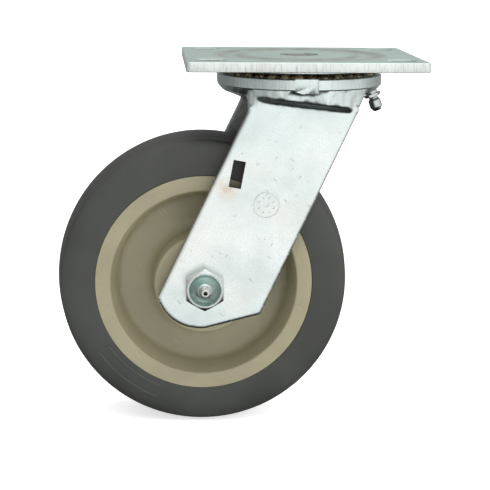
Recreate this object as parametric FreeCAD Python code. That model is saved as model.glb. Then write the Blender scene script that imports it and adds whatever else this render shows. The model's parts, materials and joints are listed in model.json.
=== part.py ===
"""Heavy-duty swivel plate caster with a tread-on-core wheel, one STEP file per piece.

Frame: the origin is the centre of the top plate's upper face, +Z is up along the kingpin,
the wheel trails towards -X and its axle lies along Y. All sizes are millimetres.
"""
import FreeCAD, Part
import math
import os

V = FreeCAD.Vector

# ---- Top plate ----
PLATE_X = 120.0              # along the direction of travel
PLATE_Y = 106.0
PLATE_T = 5.0
PLATE_CORNER_R = 3.0
BOLT_INSET_X = 12.375        # slot centre to the plate's edge: 95.25 mm between slots
BOLT_INSET_Y = 14.9          # 76.2 mm between slots
SLOT_WIDTH = 10.3            # clears a 3/8 inch bolt
SLOT_LENGTH = 15.9
RACE_PROJECTION = 2.0        # how far the raceway boss stands below the plate
PRESSED_DEPTH = 0.8          # ring-shaped hollow that the pressing leaves on top
RACE_WALL = 5.2              # metal each side of the ball groove

# ---- Ball races ----
BALL_D = 6.35
UPPER_PITCH_R = 36.5
LOWER_PITCH_R = 15.0
BALL_SPACE = 0.2             # least gap between neighbouring balls
BALL_BITE = 0.4              # how deep a ball sits in the plate's groove
GROOVE_CLEAR = 0.3           # radial gap between a ball and its groove

# ---- Kingpin stack ----
KINGPIN_D = 12.7
KINGPIN_HEAD_D = 20.0
HEAD_INSET = 0.3             # head face below the plate's upper face
CROWN_HOLE_GAP = 1.0         # radial gap between kingpin and crown
CUP_T = 3.4                  # metal below the lower balls
CUP_WALL = 2.6               # metal outside the lower balls
WASHER_T = 2.4
KINGPIN_NUT_AF = 19.05
KINGPIN_NUT_H = 8.2
PIN_STANDOUT = 1.6           # thread past a nut
END_CHAMFER = 1.0            # on the ends of the kingpin and the axle bolt

# ---- Fork ----
FORK_T = 6.35
LEG_GAP = 1.2                # hub end to a leg
RIM_WALL = 3.5               # metal outside the ball groove at the rim
RIM_BAND_H = 5.7             # upright band of the race rim
RIM_ABOVE_BALLS = 0.5        # rim top above the ball centres
BAND_STEP = 0.7              # small shoulder below the band
BEND_IN_R = 5.0              # inside bend, crown to leg
BEND_OUT_R = 5.0
LEG_TOP_X = (-28.4, 27.2)    # the leg's edges where it leaves the crown
LEG_FOOT_R = 22.0            # round end below the axle
LEG_FOOT_SHIFT = -2.6        # its centre, measured from the axle
LEG_TOE = (28.0, -14.9)      # front corner of the foot, measured from the axle
LEG_TOE_R = 2.0
NOTCH_WIDTH = 11.7           # position-lock notches in the rim
NOTCH_DEPTH = 1.9
NOTCH_WALL = 1.6             # rim metal that each notch removes
SLOT_CENTRE = (16.3, 58.4)   # brake slot, measured from the axle
BRAKE_SLOT_W = 6.35
BRAKE_SLOT_H = 14.1
BRAKE_SLOT_LEAN = 10.4       # degrees, top towards +X

# ---- Wheel ----
WHEEL_D = 152.4
TREAD_W = 50.8
TYRE_GAP = 18.5              # crown underside down to the top of the tyre
LEAD = 50.0                  # axle behind the kingpin
SHOULDER = 10.0              # tread edge rounding, measured along the side
CROWNING = 1.6               # how far the tread falls from its middle to the shoulder
TYRE_T = 20.0                # tread surface down to the core's flange
LOCK_DEPTH = 2.6             # key of the tyre in the core's rim
LOCK_INSET = 10.4            # tread side to the edge of the key
RIM_RING = 7.9               # flat ring of the core at its side
WEB_T = 18.8                 # web between the two side recesses
RECESS_DRAFT = 4.4           # recess wall leans in by this much
WEB_FILLET = 3.5
HUB_D = 51.0
HUB_PROUD = 1.2              # each hub end beyond the tread's side
HUB_DRAFT = 1.2

# ---- Bearing and axle ----
BORE_D = 31.8                # hub bore for the steel sleeve
SLEEVE_WALL = 1.3
ROLLER_GAP = 0.08            # radial play above and below the rollers
BUSHING_D = 19.05
ROLLER_COUNT = 12
ROLLER_END_GAP = 4.2         # hub end to roller end
CAGE_T = 2.0
CAGE_POCKET_GAP = 0.3
AXLE_D = 12.7
AXLE_CLEAR = 0.1
THRUST_T = 0.9               # leaves 0.3 mm of end play at each side
THRUST_D = 38.0
BORE_CLEAR = 0.1             # thrust washer bore over the bushing
HEAD_AF = 19.05
HEAD_H = 8.0
HEAD_DISH_D = 15.0
HEAD_DISH_DEPTH = 3.0
NUT_AF = 19.05
NUT_H = 11.0
INSERT_H = 3.6
INSERT_WALL = 1.75
GREASE_BORE_D = 3.6
CROSS_BORE_D = 3.0

# ---- Grease fittings ----
FITTING_THREAD_D = 6.0
FITTING_THREAD_L = 5.0
FITTING_HEX_AF = 7.9
FITTING_ROUND_D = 7.4
FITTING_HEX_H = 4.0
FITTING_NECK_D = 4.8
FITTING_HEAD_D = 6.5
FITTING_TIP_D = 4.5
FITTING_HEIGHT = 9.3         # seat to tip
FITTING_BORE_D = 2.6
FITTING_MOUTH_D = 1.5
CHECK_BALL_D = 2.2
FITTING_TILT = 20.0          # degrees outwards from straight down

# ---- Derived levels, from the plate downwards ----
ball_r = BALL_D / 2
groove_r = ball_r + GROOVE_CLEAR
plate_z = -PLATE_T
boss_z = plate_z - RACE_PROJECTION
upper_ball_z = boss_z + BALL_BITE - ball_r
rim_top_z = upper_ball_z + RIM_ABOVE_BALLS
groove_floor_z = upper_ball_z - groove_r
crown_floor_z = groove_floor_z - RACE_PROJECTION
crown_under_z = crown_floor_z - FORK_T
rim_r = UPPER_PITCH_R + groove_r + RIM_WALL
band_under_z = rim_top_z - RIM_BAND_H
lower_ball_z = crown_under_z + BALL_BITE * 2 - ball_r
cup_top_z = lower_ball_z - GROOVE_CLEAR
cup_under_z = lower_ball_z - groove_r - CUP_T
nut_top_z = cup_under_z - WASHER_T
nut_under_z = nut_top_z - KINGPIN_NUT_H
kingpin_r = KINGPIN_D / 2
crown_hole_r = kingpin_r + CROWN_HOLE_GAP

wheel_r = WHEEL_D / 2
AXLE_X = -LEAD
axle_z = crown_under_z - TYRE_GAP - wheel_r
half_tread = TREAD_W / 2
hub_end_y = half_tread + HUB_PROUD
leg_in_y = hub_end_y + LEG_GAP
leg_out_y = leg_in_y + FORK_T
core_r = wheel_r - TYRE_T
axle_r = AXLE_D / 2
bushing_r = BUSHING_D / 2
sleeve_r = BORE_D / 2
sleeve_in_r = sleeve_r - SLEEVE_WALL
roller_r = (sleeve_in_r - bushing_r - 2 * ROLLER_GAP) / 2
roller_pitch_r = bushing_r + ROLLER_GAP + roller_r
roller_half = hub_end_y - ROLLER_END_GAP
hex_face_y = leg_out_y + HEAD_H
dish_y = hex_face_y - HEAD_DISH_DEPTH
insert_r = axle_r + INSERT_WALL
bolt_end_y = leg_out_y + NUT_H + INSERT_H + PIN_STANDOUT


def profile(start, steps):
    """Closed wire in (u, v) from straight steps (u, v) and arc steps ((mid), (end))."""
    edges = []
    here = V(start[0], start[1], 0)
    first = here
    for step in steps:
        if isinstance(step[0], tuple):
            mid = V(step[0][0], step[0][1], 0)
            there = V(step[1][0], step[1][1], 0)
            edges.append(Part.Arc(here, mid, there).toShape())
        else:
            there = V(step[0], step[1], 0)
            edges.append(Part.LineSegment(here, there).toShape())
        here = there
    if here.distanceToPoint(first) > 1e-6:
        edges.append(Part.LineSegment(here, first).toShape())
    return Part.Wire(edges)


def turned(start, steps, axis="Z"):
    """Solid of revolution: u is the radius, v the place along the axis."""
    face = Part.Face(profile(start, steps))
    face.rotate(V(0, 0, 0), V(1, 0, 0), 90)
    solid = face.revolve(V(0, 0, 0), V(0, 0, 1), 360)
    if axis == "Y":
        solid.rotate(V(0, 0, 0), V(1, 0, 0), -90)
    return solid


def on_axle(shape):
    """Move a shape built about the Y axis to the wheel's axle."""
    shape.translate(V(AXLE_X, 0, axle_z))
    return shape


def rod(radius, low, high, axis="Z"):
    """Cylinder on an axis between two places along it."""
    direction = V(0, 0, 1) if axis == "Z" else V(0, 1, 0)
    return Part.makeCylinder(radius, high - low, direction * low, direction)


def tube(outer_r, inner_r, low, high, axis="Z"):
    return rod(outer_r, low, high, axis).cut(rod(inner_r, low - 1, high + 1, axis))


def hexagon(across_flats, low, high, axis="Z"):
    """Hexagonal prism with a corner towards +X or, about Y, a corner upwards."""
    corner_r = across_flats / math.sqrt(3)
    points = []
    for k in range(7):
        angle = math.radians(60 * k)
        points.append(V(corner_r * math.cos(angle), corner_r * math.sin(angle), low))
    prism = Part.Face(Part.makePolygon(points)).extrude(V(0, 0, high - low))
    if axis == "Y":
        prism.rotate(V(0, 0, 0), V(0, 0, 1), 90)
        prism.rotate(V(0, 0, 0), V(1, 0, 0), -90)
    return prism


def chamfered(prism, across_flats, low, high, axis, ends):
    """Turn the corners of a hexagon off at the named ends ("low", "high" or both)."""
    corner_r = across_flats / math.sqrt(3)
    flat_r = across_flats / 2 * 0.97
    drop = (corner_r - flat_r) * 0.577
    low_r = flat_r if "low" in ends else corner_r + 1
    high_r = flat_r if "high" in ends else corner_r + 1
    low_v = low + drop if "low" in ends else low
    high_v = high - drop if "high" in ends else high
    steps = [(low_r, low), (corner_r, low_v), (corner_r, high_v), (high_r, high), (0, high)]
    return prism.common(turned((0, low), steps, axis))


def ball_ring(pitch_r, level):
    """Ring of separate balls, as many as fit round the pitch circle."""
    count = int(math.pi / math.asin((BALL_D + BALL_SPACE) / 2 / pitch_r))
    balls = []
    for k in range(count):
        angle = 2 * math.pi * k / count
        centre = V(pitch_r * math.cos(angle), pitch_r * math.sin(angle), level)
        balls.append(Part.makeSphere(ball_r, centre))
    return Part.makeCompound(balls)


def groove(pitch_r, level):
    return Part.makeTorus(pitch_r, groove_r, V(0, 0, level))


def save(name, shape):
    if shape.ShapeType == "Compound" and len(shape.Solids) == 1:
        shape = shape.Solids[0]
    print(name, len(shape.Solids), "solids", round(shape.Volume, 1), "mm3", shape.isValid())
    shape.exportStep("parts/" + name + ".step")


# ---------------------------------------------------------------- fixed group
def slotted_cutter(x, y):
    """Round-ended slot that runs along X, through the plate."""
    half = (SLOT_LENGTH - SLOT_WIDTH) / 2
    cutter = Part.makeBox(2 * half, SLOT_WIDTH, PLATE_T + 2, V(-half, -SLOT_WIDTH / 2, plate_z - 1))
    for side in (-half, half):
        end = Part.makeCylinder(SLOT_WIDTH / 2, PLATE_T + 2, V(side, 0, plate_z - 1))
        cutter = cutter.fuse(end)
    cutter = cutter.removeSplitter()
    cutter.translate(V(x, y, 0))
    return cutter


def kingpin():
    """Countersunk head, shank and chamfered end, turned about the Z axis."""
    head_r = KINGPIN_HEAD_D / 2
    cone_h = head_r - kingpin_r
    end_z = nut_under_z - PIN_STANDOUT
    steps = [
        (head_r, -HEAD_INSET),
        (kingpin_r, -HEAD_INSET - cone_h),
        (kingpin_r, end_z + END_CHAMFER),
        (kingpin_r - END_CHAMFER, end_z),
        (0, end_z),
    ]
    return turned((0, -HEAD_INSET), steps)


def top_plate():
    plate = Part.makeBox(PLATE_X, PLATE_Y, PLATE_T, V(-PLATE_X / 2, -PLATE_Y / 2, plate_z))
    upright = [e for e in plate.Edges if abs(e.BoundBox.ZLength - PLATE_T) < 1e-6]
    plate = plate.makeFillet(PLATE_CORNER_R, upright)
    inner = UPPER_PITCH_R - RACE_WALL
    outer = UPPER_PITCH_R + RACE_WALL
    plate = plate.fuse(tube(outer + PRESSED_DEPTH, inner - PRESSED_DEPTH, boss_z, plate_z))
    plate = plate.cut(tube(outer - 1.0, inner - 1.0, -PRESSED_DEPTH, 1.0))
    plate = plate.cut(groove(UPPER_PITCH_R, upper_ball_z))
    plate = plate.cut(kingpin())
    plate = plate.cut(rod(KINGPIN_HEAD_D / 2, -HEAD_INSET, 1))
    bolt_x = PLATE_X / 2 - BOLT_INSET_X
    bolt_y = PLATE_Y / 2 - BOLT_INSET_Y
    for x in (-bolt_x, bolt_x):
        for y in (-bolt_y, bolt_y):
            plate = plate.cut(slotted_cutter(x, y))
    return plate.removeSplitter()


def lower_race_cup():
    outer = LOWER_PITCH_R + groove_r + CUP_WALL
    cup = rod(outer, cup_under_z, cup_top_z)
    cup = cup.cut(groove(LOWER_PITCH_R, lower_ball_z))
    return cup.cut(rod(kingpin_r, cup_under_z - 1, cup_top_z + 1))


def kingpin_nut():
    nut = hexagon(KINGPIN_NUT_AF, nut_under_z, nut_top_z)
    nut = chamfered(nut, KINGPIN_NUT_AF, nut_under_z, nut_top_z, "Z", ("low", "high"))
    return nut.cut(rod(kingpin_r, nut_under_z - 1, nut_top_z + 1))


def kingpin_washer():
    washer = tube(KINGPIN_NUT_AF / 2 + 0.6, kingpin_r, nut_top_z, cup_under_z)
    gap = Part.makeBox(20, 1.6, WASHER_T * 2, V(0, -0.8, nut_top_z - WASHER_T / 2))
    gap.rotate(V(0, 0, 0), V(0, 0, 1), 200)
    return washer.cut(gap)


# ---------------------------------------------------------------- swivel group
def crown():
    """Race rim, ball groove, bowl and floor of the fork, turned about the kingpin."""
    shoulder_r = rim_r - BAND_STEP
    floor_r = UPPER_PITCH_R - groove_r - RIM_WALL
    under_r = rim_r * 0.71
    groove_in_r = UPPER_PITCH_R - groove_r
    groove_out_r = UPPER_PITCH_R + groove_r
    bowl_mid = (rim_r - 4.5, band_under_z - BAND_STEP - 3.7)
    steps = [
        (under_r, crown_under_z),
        (bowl_mid, (shoulder_r, band_under_z - BAND_STEP * 0.6)),
        (rim_r, band_under_z),
        (rim_r, rim_top_z - 0.5),
        (rim_r - 0.5, rim_top_z),
        (groove_out_r, rim_top_z),
        (groove_out_r, upper_ball_z),
        ((UPPER_PITCH_R, groove_floor_z), (groove_in_r, upper_ball_z)),
        (groove_in_r - 1.2, upper_ball_z),
        (floor_r - 1.5, crown_floor_z),
        (crown_hole_r, crown_floor_z),
    ]
    solid = turned((crown_hole_r, crown_under_z), steps)
    return solid.cut(groove(LOWER_PITCH_R, lower_ball_z))


def notch_cutters():
    """Position-lock notches at the four sides of the rim."""
    cutters = []
    for turn in (0, 90, 180, 270):
        box = Part.makeBox(20, NOTCH_WIDTH, NOTCH_DEPTH + 5,
                           V(rim_r - NOTCH_WALL, -NOTCH_WIDTH / 2, rim_top_z - NOTCH_DEPTH))
        face = Part.makeBox(20, NOTCH_WIDTH, 30,
                            V(rim_r - BAND_STEP, -NOTCH_WIDTH / 2, band_under_z - 1))
        cutter = box.fuse(face)
        cutter.rotate(V(0, 0, 0), V(0, 0, 1), turn)
        cutters.append(cutter)
    return cutters


def leg_outline():
    """Side outline of a leg in (X, Z): raked edges, round foot under the axle, front toe."""
    foot_x = AXLE_X + LEG_FOOT_SHIFT
    top_z = crown_floor_z - 2.0
    edge_z = crown_under_z - BEND_OUT_R
    toe = V(AXLE_X + LEG_TOE[0], axle_z + LEG_TOE[1], 0)
    # The back edge runs from the crown to a tangent of the round foot.
    back_top = V(LEG_TOP_X[0], edge_z, 0)
    centre = V(foot_x, axle_z, 0)
    back_touch = tangent_point(back_top, centre, LEG_FOOT_R, -1)
    sole_touch = tangent_point(toe, centre, LEG_FOOT_R, 1)
    swing = (back_touch + sole_touch) * 0.5 - centre
    arc_mid = centre + swing.normalize() * LEG_FOOT_R
    front_top = V(LEG_TOP_X[1], edge_z, 0)
    rise = top_z - edge_z
    points = [
        (back_touch.x, back_touch.y),
        ((arc_mid.x, arc_mid.y), (sole_touch.x, sole_touch.y)),
    ]
    into_toe = (sole_touch - toe).normalize()
    out_of_toe = (front_top - toe).normalize()
    before = toe + into_toe * LEG_TOE_R
    after = toe + out_of_toe * LEG_TOE_R
    mid = toe + (into_toe + out_of_toe).normalize() * LEG_TOE_R * 0.45
    points += [
        (before.x, before.y),
        ((mid.x, mid.y), (after.x, after.y)),
        (front_top.x, front_top.y),
        (front_top.x, front_top.y + rise),
        (back_top.x, back_top.y + rise),
    ]
    return profile((back_top.x, back_top.y), points)


def tangent_point(outside, centre, radius, side):
    """Where a line from a point touches a circle; side picks one of the two."""
    gap = centre - outside
    spread = math.asin(radius / gap.Length)
    length = math.sqrt(gap.Length ** 2 - radius ** 2)
    heading = math.atan2(gap.y, gap.x) + side * spread
    return outside + V(math.cos(heading), math.sin(heading), 0) * length


def leg(side):
    """One leg at +Y or -Y, flared by the bends at its top and clipped to the rim."""
    outline = Part.Face(leg_outline())
    outline.rotate(V(0, 0, 0), V(1, 0, 0), 90)
    width = 4 * leg_out_y
    outline.translate(V(0, width / 2, 0))
    slab = outline.extrude(V(0, -width, 0))
    foot_z = axle_z - 2 * LEG_FOOT_R
    top_z = crown_floor_z - 2.0
    k = 1 - math.sqrt(0.5)
    # The outside bend turns 45 degrees, then runs straight out until it meets the bowl.
    out_start_z = crown_under_z - BEND_OUT_R
    turn = BEND_OUT_R * math.sqrt(0.5)
    out_end = (leg_out_y + k * BEND_OUT_R, out_start_z + turn)
    eighth = math.radians(22.5)
    out_mid = (leg_out_y + BEND_OUT_R * (1 - math.cos(eighth)), out_start_z + BEND_OUT_R * math.sin(eighth))
    section = profile((leg_in_y, foot_z), [
        (leg_out_y, foot_z),
        (leg_out_y, out_start_z),
        (out_mid, out_end),
        (out_end[0] + top_z - out_end[1], top_z),
        (leg_in_y - BEND_IN_R, top_z),
        (leg_in_y - BEND_IN_R, crown_under_z),
        ((leg_in_y - k * BEND_IN_R, crown_under_z - k * BEND_IN_R),
         (leg_in_y, crown_under_z - BEND_IN_R)),
    ])
    bent = Part.Face(section)
    bent.rotate(V(0, 0, 0), V(1, 0, 0), 90)
    bent.rotate(V(0, 0, 0), V(0, 0, 1), 90)
    bent.translate(V(-2 * wheel_r - LEAD, 0, 0))
    bar = bent.extrude(V(4 * wheel_r + 2 * LEAD, 0, 0))
    shape = bar.common(slab)
    # Above the bend the leg stays inside the rim's own outline.
    clip_z = out_start_z
    block = Part.makeBox(8 * rim_r, 8 * rim_r, 8 * rim_r, V(-4 * rim_r, -4 * rim_r, clip_z))
    shape = shape.cut(block.cut(rod(rim_r - BAND_STEP, clip_z - 1, clip_z + 8 * rim_r + 1)))
    if side < 0:
        shape = shape.mirror(V(0, 0, 0), V(0, 1, 0))
    return shape


def brake_slot_cutter():
    x = AXLE_X + SLOT_CENTRE[0]
    z = axle_z + SLOT_CENTRE[1]
    box = Part.makeBox(BRAKE_SLOT_W, 4 * leg_out_y, BRAKE_SLOT_H,
                       V(-BRAKE_SLOT_W / 2, -2 * leg_out_y, -BRAKE_SLOT_H / 2))
    box.rotate(V(0, 0, 0), V(0, 1, 0), BRAKE_SLOT_LEAN)
    box.translate(V(x, 0, z))
    return box


def fitting_place():
    """Seat centre and outward direction of the swivel grease fitting on the bowl."""
    tilt = math.radians(FITTING_TILT)
    direction = V(math.sin(tilt), 0, -math.cos(tilt))
    seat = V(rim_r - 4.6, 0, band_under_z - BAND_STEP - 4.6)
    return seat, direction


def fork():
    body = crown()
    for side in (-1, 1):
        body = body.fuse(leg(side))
    for cutter in notch_cutters():
        body = body.cut(cutter)
    body = body.cut(brake_slot_cutter())
    bolt_hole = on_axle(rod(axle_r + AXLE_CLEAR, -2 * leg_out_y, 2 * leg_out_y, "Y"))
    body = body.cut(bolt_hole)
    seat, direction = fitting_place()
    depth = FITTING_THREAD_L
    body = body.cut(Part.makeCylinder(FITTING_THREAD_D / 2, depth + 6, seat - direction * depth, direction))
    spot = Part.makeCylinder(FITTING_HEX_AF / 2 * 1.2, 8, seat, direction)
    body = body.cut(spot)
    feed = Part.makeCylinder(CROSS_BORE_D / 4, depth + 6, seat - direction * (depth + 5), direction)
    body = body.cut(feed)
    return body.removeSplitter()


def grease_fitting(shoulder):
    """Fitting that points along +Z from a seat at z = 0, with its bore and mouth."""
    head_r = FITTING_HEAD_D / 2
    neck_r = FITTING_NECK_D / 2
    neck_z = FITTING_HEX_H + 1.2
    waist_z = neck_z + 0.9
    crest_z = FITTING_HEIGHT - 1.8
    steps = [
        (FITTING_THREAD_D / 2, -FITTING_THREAD_L),
        (FITTING_THREAD_D / 2, FITTING_HEX_H - 0.5),
        (neck_r, neck_z),
        (head_r, waist_z),
        (head_r, crest_z),
        (FITTING_TIP_D / 2, FITTING_HEIGHT - 0.5),
        (FITTING_TIP_D / 2 - 0.4, FITTING_HEIGHT),
        (0, FITTING_HEIGHT),
    ]
    body = turned((0, -FITTING_THREAD_L), steps)
    if shoulder == "hexagon":
        collar = hexagon(FITTING_HEX_AF, 0, FITTING_HEX_H)
        collar = chamfered(collar, FITTING_HEX_AF, 0, FITTING_HEX_H, "Z", ("high",))
    else:
        collar = rod(FITTING_ROUND_D / 2, 0, FITTING_HEX_H)
    body = body.fuse(collar)
    seat_z = FITTING_HEIGHT - 1.4
    body = body.cut(rod(FITTING_BORE_D / 2, -FITTING_THREAD_L - 1, seat_z))
    return body.cut(rod(FITTING_MOUTH_D / 2, seat_z - 1, FITTING_HEIGHT + 1)).removeSplitter()


def check_ball():
    return Part.makeSphere(CHECK_BALL_D / 2, V(0, 0, check_ball_z()))


def check_ball_z():
    """The ball rests under the mouth's edge."""
    reach = math.sqrt((CHECK_BALL_D / 2) ** 2 - (FITTING_MOUTH_D / 2) ** 2)
    return FITTING_HEIGHT - 1.4 - reach


def at_swivel_seat(shape):
    seat, direction = fitting_place()
    shape = shape.copy()
    shape.Placement = FreeCAD.Placement(seat, FreeCAD.Rotation(V(0, 0, 1), direction))
    return shape


def at_axle_seat(shape):
    """Seat a fitting in the dish of the bolt head, pointing out along -Y."""
    shape = shape.copy()
    seat = V(AXLE_X, -dish_y, axle_z)
    shape.Placement = FreeCAD.Placement(seat, FreeCAD.Rotation(V(0, 0, 1), V(0, -1, 0)))
    return shape


def axle_bolt():
    bolt = turned((0, -leg_out_y - 1), [
        (axle_r, -leg_out_y - 1),
        (axle_r, bolt_end_y - END_CHAMFER),
        (axle_r - END_CHAMFER, bolt_end_y),
        (0, bolt_end_y),
    ], "Y")
    head = hexagon(HEAD_AF, -hex_face_y, -leg_out_y, "Y")
    head = chamfered(head, HEAD_AF, -hex_face_y, -leg_out_y, "Y", ("low",))
    bolt = bolt.fuse(head)
    dish_r = HEAD_DISH_D / 2
    dish = turned((0, -hex_face_y - 1), [
        (dish_r, -hex_face_y - 1), (dish_r, -hex_face_y), (dish_r - 1.8, -dish_y), (0, -dish_y)], "Y")
    bolt = bolt.cut(dish)
    bolt = bolt.cut(rod(FITTING_THREAD_D / 2, -dish_y - 1, -dish_y + FITTING_THREAD_L, "Y"))
    bolt = bolt.cut(rod(GREASE_BORE_D / 2, -dish_y, CROSS_BORE_D, "Y"))
    bolt = bolt.cut(Part.makeCylinder(CROSS_BORE_D / 2, axle_r * 2, V(0, 0, 0), V(0, 0, -1)))
    return on_axle(bolt.removeSplitter())


def axle_nut():
    high = leg_out_y + NUT_H
    nut = hexagon(NUT_AF, leg_out_y, high, "Y")
    nut = chamfered(nut, NUT_AF, leg_out_y, high, "Y", ("low", "high"))
    collar_r = NUT_AF / 2 * 0.95
    collar = rod(collar_r, high, high + INSERT_H, "Y")
    nut = nut.fuse(collar)
    nut = nut.cut(rod(insert_r, high, high + INSERT_H - 0.7, "Y"))
    nut = nut.cut(rod(insert_r - 0.5, high + INSERT_H - 1, high + INSERT_H + 1, "Y"))
    return on_axle(nut.cut(rod(axle_r, leg_out_y - 1, high + 1, "Y")).removeSplitter())


def axle_nut_insert():
    low = leg_out_y + NUT_H
    return on_axle(tube(insert_r, axle_r, low, low + INSERT_H - 0.7, "Y"))


def spanner_bushing():
    bushing = tube(bushing_r, axle_r + AXLE_CLEAR, -leg_in_y, leg_in_y, "Y")
    port = Part.makeCylinder(CROSS_BORE_D / 2, BUSHING_D, V(0, 0, 0), V(0, 0, -1))
    return on_axle(bushing.cut(port))


def thrust_washer(side):
    low = leg_in_y - THRUST_T
    washer = tube(THRUST_D / 2, bushing_r + BORE_CLEAR, low, leg_in_y, "Y")
    if side < 0:
        washer = washer.mirror(V(0, 0, 0), V(0, 1, 0))
    return on_axle(washer)


# ---------------------------------------------------------------- wheel group
def tyre():
    """Tread with rounded shoulders, keyed into the core's rim."""
    edge_r = wheel_r - SHOULDER
    shoulder_y = half_tread - SHOULDER * 0.86
    shoulder_r = wheel_r - CROWNING
    knee = (wheel_r - SHOULDER * 0.32 - CROWNING * 0.5, half_tread - SHOULDER * 0.24)
    lock_half = half_tread - LOCK_INSET
    key_r = core_r - LOCK_DEPTH
    steps = [
        (edge_r, -half_tread),
        ((knee[0], -knee[1]), (shoulder_r, -shoulder_y)),
        ((wheel_r, 0), (shoulder_r, shoulder_y)),
        (knee, (edge_r, half_tread)),
        (core_r, half_tread),
        (core_r, lock_half),
        (key_r, lock_half - LOCK_DEPTH),
        (key_r, LOCK_DEPTH - lock_half),
        (core_r, -lock_half),
    ]
    return on_axle(turned((core_r, -half_tread), steps, "Y"))


def half_core_steps(sign):
    """One side of the core's section, from the rim's outer corner in to the bore."""
    ring_r = core_r - RIM_RING
    web_y = WEB_T / 2
    wall_r = ring_r - RECESS_DRAFT
    hub_r = HUB_D / 2
    root_r = hub_r + HUB_DRAFT
    k = WEB_FILLET
    q = k * (1 - math.sqrt(0.5))
    return [
        (core_r, sign * half_tread),
        (ring_r + 0.6, sign * half_tread),
        ((ring_r + 0.15, sign * (half_tread - 0.2)), (ring_r, sign * (half_tread - 0.7))),
        (wall_r, sign * (web_y + k)),
        ((wall_r - q, sign * (web_y + q)), (wall_r - k, sign * web_y)),
        (root_r + k, sign * web_y),
        ((root_r + q, sign * (web_y + q)), (root_r, sign * (web_y + k))),
        (hub_r, sign * (hub_end_y - 1.0)),
        (hub_r - 1.0, sign * hub_end_y),
        (sleeve_r, sign * hub_end_y),
    ]


def backwards(start, steps):
    """The same run of steps followed from its far end."""
    ends = [start] + [s[1] if isinstance(s[0], tuple) else s for s in steps]
    result = []
    for k in range(len(steps) - 1, -1, -1):
        arc = isinstance(steps[k][0], tuple)
        result.append((steps[k][0], ends[k]) if arc else ends[k])
    return result


def wheel_core():
    """Rim, drafted recesses, web and hub, turned about the axle."""
    lock_half = half_tread - LOCK_INSET
    key_r = core_r - LOCK_DEPTH
    near = half_core_steps(-1)
    far = half_core_steps(1)
    rim = [
        (core_r, lock_half),
        (key_r, lock_half - LOCK_DEPTH),
        (key_r, LOCK_DEPTH - lock_half),
        (core_r, -lock_half),
    ]
    steps = backwards(far[0], far[1:]) + rim + near
    return on_axle(turned((sleeve_r, hub_end_y), steps, "Y"))


def bearing_sleeve():
    return on_axle(tube(sleeve_r, sleeve_in_r, -hub_end_y, hub_end_y, "Y"))


# ---------------------------------------------------------------- roller group
def roller_centres():
    for k in range(ROLLER_COUNT):
        angle = 2 * math.pi * k / ROLLER_COUNT
        yield V(roller_pitch_r * math.cos(angle), 0, roller_pitch_r * math.sin(angle))


def bearing_rollers():
    rollers = []
    for centre in roller_centres():
        start = centre - V(0, roller_half, 0)
        rollers.append(Part.makeCylinder(roller_r, 2 * roller_half, start, V(0, 1, 0)))
    return on_axle(Part.makeCompound(rollers))


def roller_cage():
    half = roller_half + 2.0
    cage = tube(roller_pitch_r + CAGE_T / 2, roller_pitch_r - CAGE_T / 2, -half, half, "Y")
    pocket_half = roller_half + CAGE_POCKET_GAP
    for centre in roller_centres():
        start = centre - V(0, pocket_half, 0)
        pocket = Part.makeCylinder(roller_r + CAGE_POCKET_GAP, 2 * pocket_half, start, V(0, 1, 0))
        cage = cage.cut(pocket)
    return on_axle(cage)


def main():
    os.makedirs("parts", exist_ok=True)
    save("top_plate", top_plate())
    save("kingpin", kingpin())
    save("lower_race_cup", lower_race_cup())
    save("kingpin_washer", kingpin_washer())
    save("kingpin_nut", kingpin_nut())
    save("fork", fork())
    save("swivel_grease_fitting", at_swivel_seat(grease_fitting("hexagon")))
    save("swivel_fitting_ball", at_swivel_seat(check_ball()))
    save("axle_bolt", axle_bolt())
    save("axle_nut", axle_nut())
    save("axle_nut_insert", axle_nut_insert())
    save("axle_grease_fitting", at_axle_seat(grease_fitting("round")))
    save("axle_fitting_ball", at_axle_seat(check_ball()))
    save("spanner_bushing", spanner_bushing())
    save("thrust_washer_near", thrust_washer(-1))
    save("thrust_washer_far", thrust_washer(1))
    save("upper_balls", ball_ring(UPPER_PITCH_R, upper_ball_z))
    save("lower_balls", ball_ring(LOWER_PITCH_R, lower_ball_z))
    save("tyre", tyre())
    save("wheel_core", wheel_core())
    save("bearing_sleeve", bearing_sleeve())
    save("bearing_rollers", bearing_rollers())
    save("roller_cage", roller_cage())
    print("axle", AXLE_X, round(axle_z, 2), "roller pitch", round(roller_pitch_r, 3))
    print("leg faces", leg_in_y, leg_out_y, "height", round(wheel_r - axle_z, 2))


main()
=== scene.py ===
"""Looks of a heavy-duty swivel plate caster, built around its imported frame.

The file is laid out as an add-on: settings, one operator for each piece or group of like pieces,
one for the stage, and a panel that lists them. Everything is in metres, in the frame's own axes:
the origin is the centre of the plate's upper face, +Z is up and the wheel trails towards -X.
"""
import json
import math

import bmesh
import bpy
from bpy.props import FloatProperty, FloatVectorProperty, IntProperty, PointerProperty
from bpy.types import Operator, Panel, PropertyGroup
from mathutils import Matrix, Vector, noise


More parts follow.
